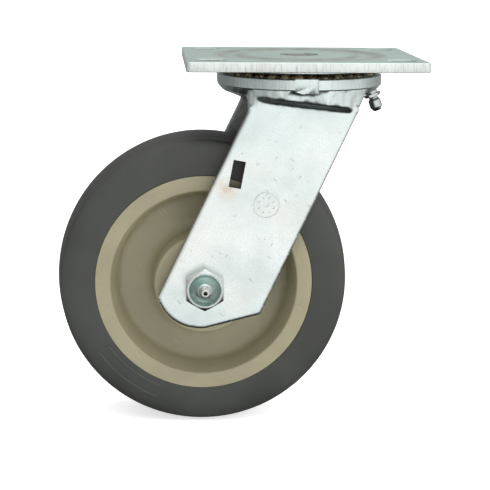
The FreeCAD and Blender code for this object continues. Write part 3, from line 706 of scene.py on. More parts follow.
def core_material(settings):
    """Moulded plastic: warm beige with faint flow clouds, a light satin and hairline scuffs."""
    finish = Finish("beige_core")
    shade = tuple(settings.core)
    deep = tuple(channel * 0.86 for channel in shade)
    cloud = finish.noise(38.0, 4.0, 0.55, 0.6)
    base = finish.mix(finish.ramp(cloud, [(0.34, 0), (0.66, 1)]), deep, shade)
    scuffs = nicks(finish, 70.0, 9.0, (0.0, 0.8, 0.0), 2.3, 0.2)
    base = finish.mix(finish.sum("MULTIPLY", scuffs, 0.25), base, (0.50, 0.47, 0.36))
    grain = finish.noise(1800.0, 2.0, 0.6)
    finish.set(Base_Color=base, Roughness=finish.ramp(cloud, [(0.3, 0.40), (0.7, 0.52)]))
    finish.set(Subsurface_Weight=0.04)
    finish.shader.inputs["Subsurface Radius"].default_value = (0.004, 0.003, 0.002)
    finish.set(Normal=finish.bump(grain, 0.00002, 0.35))
    return finish.material


def nylon_material(settings):
    finish = Finish("lock_nylon")
    cloud = finish.noise(260.0, 3.0)
    shade = tuple(settings.nylon)
    base = finish.mix(finish.ramp(cloud, [(0.35, 0), (0.65, 1)]),
                      tuple(channel * 0.9 for channel in shade), shade)
    finish.set(Base_Color=base, Roughness=0.45, Subsurface_Weight=0.1)
    finish.shader.inputs["Subsurface Radius"].default_value = (0.002, 0.002, 0.002)
    finish.set(Normal=finish.bump(cloud, 0.00003, 0.4))
    return finish.material


FINISHES = {}


def finish_for(name, make):
    """Each finish is made once and shared."""
    if name not in FINISHES:
        FINISHES[name] = make()
    return FINISHES[name]


def shared(context, name):
    """The named finish of this caster."""
    settings = context.scene.caster_finish
    plate = context.scene.caster_plate
    makers = {
        "zinc": lambda: zinc_material(settings, RUST_PLACE),
        "sheared": lambda: sheared_material(settings, "sheared_zinc", 0.92, (1300, 1300, 130)),
        "leg_edge": lambda: sheared_material(settings, "leg_edge_zinc", 0.45, (300, 1500, 300)),
        # Inside faces of the fork: the sheared finish at a low tone, painted shade that draws them dark as if in
        # shadow.
        "inner": lambda: sheared_material(settings, "fork_inside_painted_shade", 0.30, (260, 260, 260)),
        "plate_top": lambda: plate_material(plate.race_inner, plate.race_outer),
        "hardware": lambda: hardware_material(settings),
        "dish": lambda: hardware_material(settings, "tinted_dish", 1.2, (0.52, 0.78, 0.72)),
        # Check balls drawn almost black: painted shade that makes the fittings' bores look dark.
        "painted_shade_ball": lambda: hardware_material(settings, "check_ball_painted_shade", 0.05, (0.03, 0.03, 0.03)),
        "pin": lambda: pin_material(settings),
        "balls": lambda: steel_material(settings, "greased_balls_and_gap_shade", settings.ball),
        "bearing": lambda: steel_material(settings, "bearing_steel", (0.55, 0.54, 0.50)),
        "grease": lambda: grease_material(settings),
        "tread": lambda: tread_material(settings, "grey_tread", 1.0),
        "dusty_tread": lambda: tread_material(settings, "dusty_tread", 1.7),
        "core": lambda: core_material(settings),
        "nylon": lambda: nylon_material(settings),
    }
    return finish_for(name, makers[name])


# ------------------------------------------------------------------ repeated pieces
def ring_tree(name, kind):
    """Geometry nodes that set balls or rollers round a circle."""
    tree = bpy.data.node_groups.new(name, "GeometryNodeTree")
    face = tree.interface
    face.new_socket("Count", in_out="INPUT", socket_type="NodeSocketInt")
    for label in ("Pitch radius", "Part radius", "Part length"):
        face.new_socket(label, in_out="INPUT", socket_type="NodeSocketFloat")
    face.new_socket("Finish", in_out="INPUT", socket_type="NodeSocketMaterial")
    face.new_socket("Geometry", in_out="OUTPUT", socket_type="NodeSocketGeometry")
    nodes, links = tree.nodes, tree.links
    source = nodes.new("NodeGroupInput")
    circle = nodes.new("GeometryNodeMeshCircle")
    links.new(source.outputs["Count"], circle.inputs["Vertices"])
    links.new(source.outputs["Pitch radius"], circle.inputs["Radius"])
    if kind == "ball":
        part = nodes.new("GeometryNodeMeshUVSphere")
        part.inputs["Segments"].default_value = 24
        part.inputs["Rings"].default_value = 14
    else:
        part = nodes.new("GeometryNodeMeshCylinder")
        part.inputs["Vertices"].default_value = 28
        links.new(source.outputs["Part length"], part.inputs["Depth"])
    links.new(source.outputs["Part radius"], part.inputs["Radius"])
    spread = nodes.new("GeometryNodeInstanceOnPoints")
    links.new(circle.outputs["Mesh"], spread.inputs["Points"])
    links.new(part.outputs["Mesh"], spread.inputs["Instance"])
    real = nodes.new("GeometryNodeRealizeInstances")
    links.new(spread.outputs["Instances"], real.inputs["Geometry"])
    paint = nodes.new("GeometryNodeSetMaterial")
    links.new(real.outputs["Geometry"], paint.inputs["Geometry"])
    links.new(source.outputs["Finish"], paint.inputs["Material"])
    output = nodes.new("NodeGroupOutput")
    links.new(paint.outputs["Geometry"], output.inputs["Geometry"])
    return tree


def ring_of_parts(name, kind, material, count, pitch, radius, part_length, place):
    """Run the ring tree once and keep its result as a plain mesh, moved into place."""
    carrier = link(name, bpy.data.meshes.new(name))
    nodes = carrier.modifiers.new("ring", "NODES")
    nodes.node_group = ring_tree(name + "_tree", kind)
    values = {"Count": count, "Pitch radius": pitch, "Part radius": radius,
              "Part length": part_length, "Finish": material}
    for item in nodes.node_group.interface.items_tree:
        if item.in_out == "INPUT":
            nodes[item.identifier] = values[item.name]
    settle(carrier)
    carrier.data.transform(place)
    return carrier


# ------------------------------------------------------------------ operators
RUST_PLACE = (AXLE.x + 11.5 * MM, -BUSHING_HALF - 6.35 * MM, AXLE.z + 51.0 * MM)
STUDIO_STRENGTH = 1.18
STUDIO_SHADES = (
    ("X", ((-1.0, 0.42), (-0.4, 0.72), (-0.05, 1.03), (0.15, 1.14), (0.6, 1.05), (1.0, 0.85))),
    ("Y", ((-1.0, 1.0), (0.0, 0.9), (0.4, 0.36), (1.0, 0.33))),
    ("Z", ((-1.0, 0.01), (-0.52, 0.02), (-0.36, 0.95), (0.3, 1.0), (1.0, 0.9))),
    ("Z", ((-1.0, 0.0), (0.4, 0.0), (0.75, 0.40), (1.0, 0.55))),
)


class CASTER_OT_top_plate(Operator):
    """Slotted top plate with its pressed raceway"""

    bl_idname = "caster.top_plate"
    bl_label = "Top plate"
    bl_options = {"REGISTER", "UNDO"}

    def execute(self, context):
        s = context.scene.caster_plate
        pin = context.scene.caster_hardware
        half_x, half_y = s.size_x / 2, s.size_y / 2
        corners = [(half_x, half_y, s.corner), (-half_x, half_y, s.corner),
                   (-half_x, -half_y, s.corner), (half_x, -half_y, s.corner)]
        slots = [self.slot_outline(s, sx * (half_x - s.inset_x), sy * (half_y - s.inset_y))
                 for sx in (-1, 1) for sy in (-1, 1)]
        plate = sheet("top_plate_pressing", rounded(corners, 8), slots, -s.thickness, 0.0, s.edge)
        boss = rounded([
            (s.race_inner - 0.6 * MM, -s.thickness + 1.0 * MM, 0),
            (s.race_outer + 0.6 * MM, -s.thickness + 1.0 * MM, 0),
            (s.race_outer + 0.6 * MM, BOSS_Z, 0.8 * MM),
            (s.race_inner - 0.6 * MM, BOSS_Z, 0.8 * MM)])
        combine(plate, [lathe("race_boss", boss, 160)], "UNION")
        race = context.scene.caster_race
        ball_z = sum(span("upper_balls", 2)) / 2
        bite = race.ball_radius + 0.3 * MM
        groove = [(race.upper_pitch + bite * math.cos(a), ball_z + bite * math.sin(a))
                  for a in (2 * math.pi * k / 28 for k in range(28))]
        dent = rounded([
            (s.race_inner - 3.4 * MM, 0.3 * MM, 0), (s.race_inner + 1.6 * MM, -s.dent, 3.0 * MM),
            (s.race_outer - 1.6 * MM, -s.dent, 3.0 * MM), (s.race_outer + 3.4 * MM, 0.3 * MM, 0)], 8)
        head_r = span("kingpin", 0)[1] + 0.05 * MM
        cone_end = -0.5 * MM - (head_r - pin.pin_radius)
        hole = [(0, 1 * MM), (head_r, 1 * MM), (head_r, -0.5 * MM), (pin.pin_radius, cone_end),
                (pin.pin_radius, -10 * MM), (0, -10 * MM)]
        cutters = [lathe("race_groove", groove, 160), lathe("press_dent", dent, 160),
                   lathe("pin_hole", hole, 96)]
        combine(plate, cutters, "DIFFERENCE")
        materials = [shared(context, name) for name in ("zinc", "sheared", "plate_top", "leg_edge")]
        finish_piece(plate, "mount", ["top_plate"], materials, 28)
        for face in plate.data.polygons:
            rim = max(abs(face.center.x) - half_x, abs(face.center.y) - half_y) > -s.edge * 1.2
            if face.normal.z > 0.5 and face.center.z > -s.dent * 1.5:
                face.material_index = 2
            elif abs(face.normal.z) < 0.5 and max(abs(face.center.x), abs(face.center.y)) > s.race_outer + MM:
                face.material_index = 1 if rim else 3
        return {"FINISHED"}

    def slot_outline(self, s, x, y):
        """Round-ended slot along X."""
        radius = s.slot_width / 2
        reach = s.slot_length / 2 - radius
        points = []
        for end, start in ((reach, -90), (-reach, 90)):
            for step in range(17):
                angle = math.radians(start + 180 * step / 16)
                points.append((x + end + radius * math.cos(angle), y + radius * math.sin(angle)))
        return points


class CASTER_OT_race_balls(Operator):
    """Both rings of race balls, with the grease between the upper ones"""

    bl_idname = "caster.race_balls"
    bl_label = "Race balls"
    bl_options = {"REGISTER", "UNDO"}

    def execute(self, context):
        s = context.scene.caster_race
        balls = shared(context, "balls")
        for name, node, body, count, pitch in (
                ("upper_ball_set", "upper_balls", "upper_ball_ring", s.upper_count, s.upper_pitch),
                ("lower_ball_set", "lower_balls", "lower_ball_ring", s.lower_count, s.lower_pitch)):
            low, high = span(node, 2)
            place = Matrix.Translation((0, 0, (low + high) / 2))
            ring = ring_of_parts(name, "ball", balls, count, pitch, s.ball_radius, 0.0, place)
            finish_piece(ring, body, [node], [balls], 80)
        self.grease(context, s)
        return {"FINISHED"}

    def grease(self, context, s):
        """Bead of old grease that has worked out between the upper balls. Drawn near-black, it also fills the gap
        between plate and rim with painted shade.
        """
        height = sum(span("upper_balls", 2)) / 2
        bm = bmesh.new()
        rounds, sides = 408, 12
        grid = []
        for j in range(rounds):
            angle = 2 * math.pi * j / rounds
            swell = 1 + 0.10 * math.sin(7 * angle + 1.3) + 0.08 * math.sin(19 * angle) + 0.05 * math.sin(53 * angle)
            ring = []
            for k in range(sides):
                turn = 2 * math.pi * k / sides
                reach = s.upper_pitch + s.ball_radius * 0.78 * swell * math.cos(turn)
                rise = s.ball_radius * 0.58 * swell * math.sin(turn)
                ring.append(bm.verts.new((reach * math.cos(angle), reach * math.sin(angle), height + rise)))
            grid.append(ring)
        for j in range(rounds):
            ahead = grid[(j + 1) % rounds]
            for k in range(sides):
                n = (k + 1) % sides
                bm.faces.new((grid[j][k], ahead[k], ahead[n], grid[j][n]))
        bead = link("grease_bead_and_gap_shade", to_mesh(bm, "grease_bead_and_gap_shade"))
        finish_piece(bead, "upper_ball_ring", [], [shared(context, "grease")], 80)


class CASTER_OT_king_stack(Operator):
    """Kingpin, lower race cup, lock washer and king nut"""

    bl_idname = "caster.king_stack"
    bl_label = "Kingpin and nut"
    bl_options = {"REGISTER", "UNDO"}

    def execute(self, context):
        self.kingpin(context)
        self.cup(context)
        self.washer(context)
        self.nut(context)
        return {"FINISHED"}

    def kingpin(self, context):
        s = context.scene.caster_hardware
        low, high = span("kingpin", 2)
        head_r = span("kingpin", 0)[1]
        thread_top = span("kingpin_washer", 2)[0]
        cone = head_r - s.pin_radius
        outline = [(0, high), (head_r - 1.0 * MM, high), (head_r - 0.3 * MM, high - 0.15 * MM),
                   (head_r, high - 0.5 * MM), (s.pin_radius, high - 0.2 * MM - cone),
                   (s.pin_radius, thread_top), (0, thread_top)]
        pin = lathe("king_pin", outline, 96)
        screw = thread("pin_thread", s.pin_radius, low, thread_top + 0.4 * MM, s.pitch)
        combine(pin, [screw], "UNION")
        marks = []
        for k in range(8):
            mark = block("stake", (0.3 * head_r, 1.1 * MM, 1.0 * MM), (0.62 * head_r, 0, high + 0.05 * MM))
            mark.data.transform(Matrix.Rotation(math.radians(45 * k + 11), 4, "Z"))
            marks.append(mark)
        combine(pin, marks, "DIFFERENCE")
        finish_piece(pin, "mount", ["kingpin"], [shared(context, "pin")])

    def cup(self, context):
        s = context.scene.caster_race
        low, high = span("lower_race_cup", 2)
        outer = span("lower_race_cup", 0)[1]
        pin_r = context.scene.caster_hardware.pin_radius
        ball_z = sum(span("lower_balls", 2)) / 2
        bite = s.ball_radius + 0.3 * MM
        half = math.sqrt(bite ** 2 - (high - ball_z) ** 2)
        groove = []
        start = math.atan2(high - ball_z, half)
        for step in range(17):
            angle = start - (math.pi + 2 * start) * step / 16
            groove.append((s.lower_pitch + bite * math.cos(angle), ball_z + bite * math.sin(angle)))
        ring = rounded([(pin_r, high, 0.3 * MM), (pin_r, low, 0.3 * MM), (outer - 1.6 * MM, low, 1.4 * MM),
                        (outer, low + 2.2 * MM, 1.2 * MM), (outer, high, 0.4 * MM)], 4)
        cup = lathe("lower_race", ring + groove, 128)
        finish_piece(cup, "mount", ["lower_race_cup"], [shared(context, "hardware")])

    def washer(self, context):
        s = context.scene.caster_hardware
        low, high = span("kingpin_washer", 2)
        outer = span("kingpin_washer", 0)[1]
        ring = lathe("lock_washer", [(s.pin_radius, low), (outer, low), (outer, high),
                                     (s.pin_radius, high)], 96)
        gap = block("washer_gap", (outer, 1.6 * MM, 4 * (high - low)), (outer * 0.85, 0, (low + high) / 2),
                    Matrix.Rotation(math.radians(24), 4, "X"))
        gap.data.transform(Matrix.Rotation(math.radians(200), 4, "Z"))
        combine(ring, [gap], "DIFFERENCE")
        break_edges(ring, s.edge)
        finish_piece(ring, "mount", ["kingpin_washer"], [shared(context, "hardware")])

    def nut(self, context):
        s = context.scene.caster_hardware
        low, high = span("kingpin_nut", 2)
        nut = hexagon("king_nut", s.across_flats, low, high)
        combine(nut, [corner_cone("nut_cone", s.across_flats, low, high, ("low", "high"))], "INTERSECT")
        hole = [(0, low - MM), (s.pin_radius + MM, low - MM), (s.pin_radius, low + 0.7 * MM),
                (s.pin_radius, high - 0.7 * MM), (s.pin_radius + MM, high + MM), (0, high + MM)]
        combine(nut, [lathe("nut_hole", hole, 72)], "DIFFERENCE")
        break_edges(nut, s.edge)
        finish_piece(nut, "mount", ["kingpin_nut"], [shared(context, "hardware")])


class CASTER_OT_fork(Operator):
    """Pressed fork: race rim, bowl, two bent legs, notches and punched slots"""

    bl_idname = "caster.fork"
    bl_label = "Fork"
    bl_options = {"REGISTER", "UNDO"}

    def execute(self, context):
        s = context.scene.caster_fork
        race = context.scene.caster_race
        self.levels(s, race)
        body = lathe("fork_pressing", self.bowl(s), 160)
        legs = [self.leg(s, side) for side in (-1, 1)]
        combine(body, legs, "UNION")
        self.blend_bends(body, s)
        combine(body, [lathe("race_rim", self.rim(s, race), 192)], "UNION")
        combine(body, self.cutters(context, s, race), "DIFFERENCE")
        combine(body, self.stamp(s), "DIFFERENCE")
        materials = [shared(context, name) for name in ("zinc", "leg_edge", "inner")]
        finish_piece(body, "swivel", ["fork"], materials, 34)
        for face in body.data.polygons:
            if face.center.z < self.bend_z - MM and abs(face.normal.y) < 0.35:
                face.material_index = 1
            # Inside faces of the legs and the bowl's underside take the dark finish: painted shade.
            elif face.center.z < self.under_z + MM and abs(face.center.y) < s.leg_inner + 0.4 * MM:
                face.material_index = 2
        return {"FINISHED"}

    def levels(self, s, race):
        """Heights of the crown, worked out from the balls and the frame's own box."""
        self.ball_z = sum(span("upper_balls", 2)) / 2
        self.bite = race.ball_radius + 0.3 * MM
        self.rim_top = span("fork", 2)[1]
        self.band_under = self.rim_top - s.rim_height
        self.floor_z = self.ball_z - self.bite - 2.0 * MM
        self.under_z = self.floor_z - s.sheet
        self.hole_r = 7.35 * MM
        self.bend_z = -s.bend_start
        self.shoulder = s.rim_radius - 0.7 * MM

    def bowl(self, s):
        """Bowl below the rim: the outline that the legs are blended into."""
        under_r = s.rim_radius * 0.72
        return rounded([
            (0, self.floor_z, 0), (0, self.under_z, 0), (under_r, self.under_z, 9 * MM),
            (s.rim_radius - 3.2 * MM, self.band_under - 3.0 * MM, 3.5 * MM),
            (self.shoulder, self.band_under - 0.4 * MM, 0.8 * MM),
            (self.shoulder, self.band_under + 2.0 * MM, 0),
            (s.rim_radius * 0.68, self.floor_z, 0)], 8)

    def leg(self, s, side):
        """A leg as a loft of level rows: raked edges, round foot, toe and both bends."""
        outer = s.leg_inner + s.sheet
        top = self.floor_z - 1.0 * MM
        foot = AXLE.z - s.foot_radius
        rows, columns = 150, 16
        bm = bmesh.new()
        rings = []
        for row in range(rows + 1):
            z = top + (foot + 0.02 * MM - top) * row / rows
            left, right = self.leg_edges(s, z)
            y_in = s.leg_inner - self.ease(z, self.under_z - s.inner_bend, self.under_z, s.inner_bend)
            ring = [(right, y_in), (left, y_in)]
            for column in range(columns + 1):
                x = left + (right - left) * column / columns
                ring.append((x, outer + self.bulge(s, x, z, outer)))
            rings.append([bm.verts.new((x, side * y, z)) for x, y in ring])
        for upper, lower in zip(rings, rings[1:]):
            for k in range(len(upper)):
                n = (k + 1) % len(upper)
                bm.faces.new((upper[k], upper[n], lower[n], lower[k]))
        bm.faces.new(rings[0])
        bm.faces.new(rings[-1])
        leg = link("leg", to_mesh(bm, "leg"))
        clip_low = self.bend_z
        keep = lathe("leg_clip", [(0, top + MM), (self.shoulder, top + MM), (self.shoulder, clip_low),
                                  (0.2, clip_low), (0.2, foot - 0.05), (0, foot - 0.05)], 160)
        return combine(leg, [keep], "INTERSECT")

    def bulge(self, s, x, z, outer):
        """How far the crown's bulge stands beyond the flat leg at one place."""
        round_wall = math.sqrt(max(0.0, self.shoulder ** 2 - x ** 2))
        most = max(0.0, min(self.shoulder - 1.6 * MM, round_wall) - outer)
        rise = min(1.0, max(0.0, (z - self.bend_z + s.bend_tilt * x) / s.bend))
        return most * rise * rise * (3 - 2 * rise)

    def ease(self, z, start, end, radius):
        """Quarter-round growth of a bend between two heights."""
        if z <= start:
            return 0.0
        share = min(1.0, (z - start) / (end - start))
        return radius * (1 - math.sqrt(max(0.0, 1 - share * share)))

    def leg_edges(self, s, z):
        """Back and front edge of a leg at one height."""
        edge_z = self.under_z - 5.0 * MM
        foot_x = AXLE.x - 2.6 * MM
        toe = Vector((AXLE.x + 28.0 * MM, AXLE.z - 14.9 * MM))
        back_slope, front_slope = 0.4786, 0.462
        left = -28.4 * MM + back_slope * (z - edge_z)
        right = 27.0 * MM + front_slope * (z - edge_z)
        if z > edge_z:
            left = -28.4 * MM
        depth = AXLE.z - z
        if depth > -9 * MM:
            level = max(-s.foot_radius, min(0.0, z - AXLE.z)) if depth > 0 else 0.0
            left = max(left, foot_x - math.sqrt(max(0.0, s.foot_radius ** 2 - level ** 2)))
        if z < toe.y:
            sole_slope = (s.foot_radius - 14.9 * MM) / (toe.x - foot_x - 3 * MM)
            reach = toe.x - (toe.y - z) / sole_slope
            arc = foot_x + math.sqrt(max(0.0, s.foot_radius ** 2 - (z - AXLE.z) ** 2))
            right = max(min(right, reach), arc)
        return left, max(right, left + 0.05 * MM)

    def blend_bends(self, body, s):
        """Blend crown and legs on a fine grid: sheared edges go soft, the bends flow."""
        grid = body.modifiers.new("grid", "REMESH")
        grid.mode = "VOXEL"
        grid.voxel_size = s.voxel
        grid.adaptivity = 0.0
        settle(body)
        group = body.vertex_groups.new(name="bends")
        lowest, highest = self.bend_z - 3.0 * MM, self.band_under
        for vertex in body.data.vertices:
            z = vertex.co.z
            if lowest < z < highest:
                weight = min(1.0, (z - lowest) / (3.0 * MM), (highest - z) / (0.8 * MM) + 0.2)
                group.add([vertex.index], weight, "REPLACE")
        for name, passes, where in (("edges", s.soften, ""), ("bends", s.blend, "bends")):
            soft = body.modifiers.new(name, "SMOOTH")
            soft.factor = 0.5
            soft.iterations = passes
            soft.vertex_group = where
            settle(body)
        body.vertex_groups.clear()
        self.hammer(body, s)

    def hammer(self, body, s):
        """Slight unevenness that drawing leaves in the bowl and its bulge."""
        normals = [vertex.normal.copy() for vertex in body.data.vertices]
        for vertex, normal in zip(body.data.vertices, normals):
            place = vertex.co.copy()
            above = place.z - self.bend_z + s.bend_tilt * place.x + 0.6 * MM
            share = min(1.0, max(0.0, above / (2.0 * MM)), max(0.0, (self.band_under - place.z) / MM))
            if share > 0 and place.xy.length > self.shoulder * 0.6:
                upright = Vector((place.x * 420.0, place.y * 60.0, place.z * 90.0))
                wave = noise.noise(place * 95.0) + 0.7 * noise.noise(place * 260.0) + 0.45 * noise.noise(upright)
                vertex.co = place + normal * (wave * share * 0.48 * MM)

    def rim(self, s, race):
        """Crisp race rim: upright band, ball groove and inner wall."""
        groove_out, groove_in = race.upper_pitch + self.bite, race.upper_pitch - self.bite
        groove_floor = self.ball_z - self.bite
        outline = rounded([
            (groove_in - 1.4 * MM, self.ball_z - 0.2 * MM, 0.3 * MM),
            (groove_in - 4.5 * MM, self.floor_z - 0.4 * MM, 0.6 * MM),
            (groove_in - 3.0 * MM, groove_floor - 4.6 * MM, 0),
            (s.rim_radius - 5.0 * MM, self.band_under - 1.2 * MM, 0),
            (s.rim_radius - 0.3 * MM, self.band_under, 0.5 * MM),
            (s.rim_radius, self.band_under + 0.5 * MM, 0.3 * MM),
            (s.rim_radius, self.rim_top, 0.55 * MM),
            (groove_out, self.rim_top, 0.2 * MM)], 4)
        for step in range(17):
            angle = -math.pi * step / 16
            outline.append((race.upper_pitch + self.bite * math.cos(angle),
                            self.ball_z + self.bite * math.sin(angle)))
        return outline

    def cutters(self, context, s, race):
        """Kingpin hole, lower race, notches, slots, axle holes and the grease seat."""
        made = [lathe("king_hole", [(0, self.floor_z + 4 * MM), (self.hole_r, self.floor_z + 4 * MM),
                                    (self.hole_r, self.under_z - 4 * MM), (0, self.under_z - 4 * MM)], 96)]
        lower_z = sum(span("lower_balls", 2)) / 2
        ring = [(race.lower_pitch + self.bite * math.cos(2 * math.pi * k / 32),
                 lower_z + self.bite * math.sin(2 * math.pi * k / 32)) for k in range(32)]
        made.append(lathe("lower_race_groove", ring, 128))
        notch_z = self.rim_top - 1.9 * MM
        for quarter in range(4):
            turn = Matrix.Rotation(quarter * math.pi / 2, 4, "Z")
            top = block("notch", (4 * MM, s.notch_width, 8 * MM),
                        (s.rim_radius - 1.6 * MM + 2 * MM, 0, notch_z + 4 * MM))
            front = block("notch_front", (4 * MM, s.notch_width, 12 * MM),
                          (s.rim_radius + 0.5 * MM, 0, self.band_under + 3.5 * MM))
            for cutter in (top, front):
                cutter.data.transform(turn)
                made.append(cutter)
        lean = Matrix.Rotation(math.radians(10.4), 4, "Y")
        made.append(block("brake_slot", (s.slot_width, 0.2, s.slot_height),
                          (AXLE.x + 16.3 * MM, 0, AXLE.z + 58.4 * MM), lean))
        hole_r = context.scene.caster_hardware.pin_radius + 0.1 * MM
        made.append(lathe("axle_hole", [(0, -0.1), (hole_r, -0.1), (hole_r, 0.1), (0, 0.1)], 72, "Y", AXLE))
        seat, toward = grease_seat()
        spot = lathe("grease_spot", [(0, 0), (4.7 * MM, 0), (4.7 * MM, 8 * MM), (0, 8 * MM)], 48)
        spot.data.transform(Matrix.Translation(seat) @ toward.to_track_quat("Z", "X").to_matrix().to_4x4())
        made.append(spot)
        return made

    def stamp(self, s):
        """Plain stamped mark with no lettering: a ring round nine dots."""
        face_y = -(s.leg_inner + s.sheet)
        centre = Vector((AXLE.x + 31.0 * MM, 0, AXLE.z + 43.0 * MM))
        depth = 0.6 * MM
        made = []
        for inner, outer in ((5.9, 6.9), (0.0, 1.5)):
            outline = [(inner * MM, face_y - MM), (outer * MM, face_y - MM),
                       ((outer - 0.15) * MM, face_y + depth), ((inner + 0.15 * (inner > 0)) * MM, face_y + depth)]
            made.append(lathe("stamp_ring", outline, 72, "Y", centre))
        for k in range(8):
            angle = math.radians(45 * k + 22.5)
            spot = centre + Vector((math.cos(angle), 0, math.sin(angle))) * 4.0 * MM
            made.append(lathe("stamp_dot", [(0, face_y - MM), (0.8 * MM, face_y - MM), (0.6 * MM, face_y + depth),
                                            (0, face_y + depth)], 16, "Y", spot))
        return made


def grease_seat():
    """Seat and outward direction of the swivel grease fitting, from the frame's check ball."""
    low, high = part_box("swivel_fitting_ball")
    ball = (low + high) / 2
    tilt = math.radians(20.0)
    toward = Vector((math.sin(tilt), 0, -math.cos(tilt)))
    return ball - toward * GREASE_BALL_HEIGHT, toward


GREASE_BALL_HEIGHT = 7.095 * MM


class CASTER_OT_grease_fittings(Operator):
    """Grease fittings of the swivel race and of the axle, with their check balls"""

    bl_idname = "caster.grease_fittings"
    bl_label = "Grease fittings"
    bl_options = {"REGISTER", "UNDO"}

    def execute(self, context):
        seat, toward = grease_seat()
        turn = toward.to_track_quat("Z", "X").to_matrix().to_4x4()
        self.fitting(context, "swivel_grease_nipple", "swivel_grease_fitting", True,
                     Matrix.Translation(seat) @ turn)
        dish_y = HEAD_Y + context.scene.caster_hardware.dish_depth
        seat = Vector((AXLE.x, dish_y, AXLE.z))
        turn = Matrix.Rotation(math.pi / 2, 4, "X")
        self.fitting(context, "axle_grease_nipple", "axle_grease_fitting", False,
                     Matrix.Translation(seat) @ turn)
        # The check balls take the near-black finish: painted shade in the fittings' bores.
        for node in ("swivel_fitting_ball", "axle_fitting_ball"):
            ball = frame["nodes"][node]
            ball.data.materials.clear()
            ball.data.materials.append(shared(context, "painted_shade_ball"))
        return {"FINISHED"}

    def fitting(self, context, name, node, hexagonal, place):
        """Standing on its seat at the origin, then moved to its place."""
        neck = 1.5 * MM if hexagonal else 4.1 * MM
        outline = rounded([
            (1.05 * MM, 9.3 * MM, 0), (1.05 * MM, 7.9 * MM, 0), (1.3 * MM, 7.9 * MM, 0),
            (1.3 * MM, -5.0 * MM, 0), (3.0 * MM, -5.0 * MM, 0.3 * MM),
            (3.0 * MM, neck - 0.5 * MM, 0.2 * MM), (2.35 * MM, neck + 0.5 * MM, 0.7 * MM),
            (2.35 * MM, neck + 1.1 * MM, 0.4 * MM), (3.25 * MM, neck + 2.1 * MM, 0.8 * MM),
            (3.25 * MM, 7.2 * MM, 0.8 * MM), (2.25 * MM, 8.8 * MM, 0.3 * MM), (2.05 * MM, 9.3 * MM, 0.25 * MM)], 4)
        body = lathe(name, outline, 64)
        if hexagonal:
            collar = hexagon("collar", 7.9 * MM, 0, neck)
            combine(collar, [corner_cone("collar_cone", 7.9 * MM, 0, neck, ("high",))], "INTERSECT")
        else:
            collar = lathe("collar", rounded([(0, 0, 0), (3.7 * MM, 0, 0.2 * MM), (3.7 * MM, 3.3 * MM, 0.5 * MM),
                                              (2.9 * MM, 4.0 * MM, 0.2 * MM), (0, 4.0 * MM, 0)], 4), 64)
        hollow = lathe("collar_bore", [(0, -MM), (1.3 * MM, -MM), (1.3 * MM, 5 * MM), (0, 5 * MM)], 64)
        combine(collar, [hollow], "DIFFERENCE")
        combine(body, [collar], "UNION")
        break_edges(body, 0.08 * MM, 40, 1)
        body.data.transform(place)
        finish_piece(body, "swivel", [node], [shared(context, "hardware")])


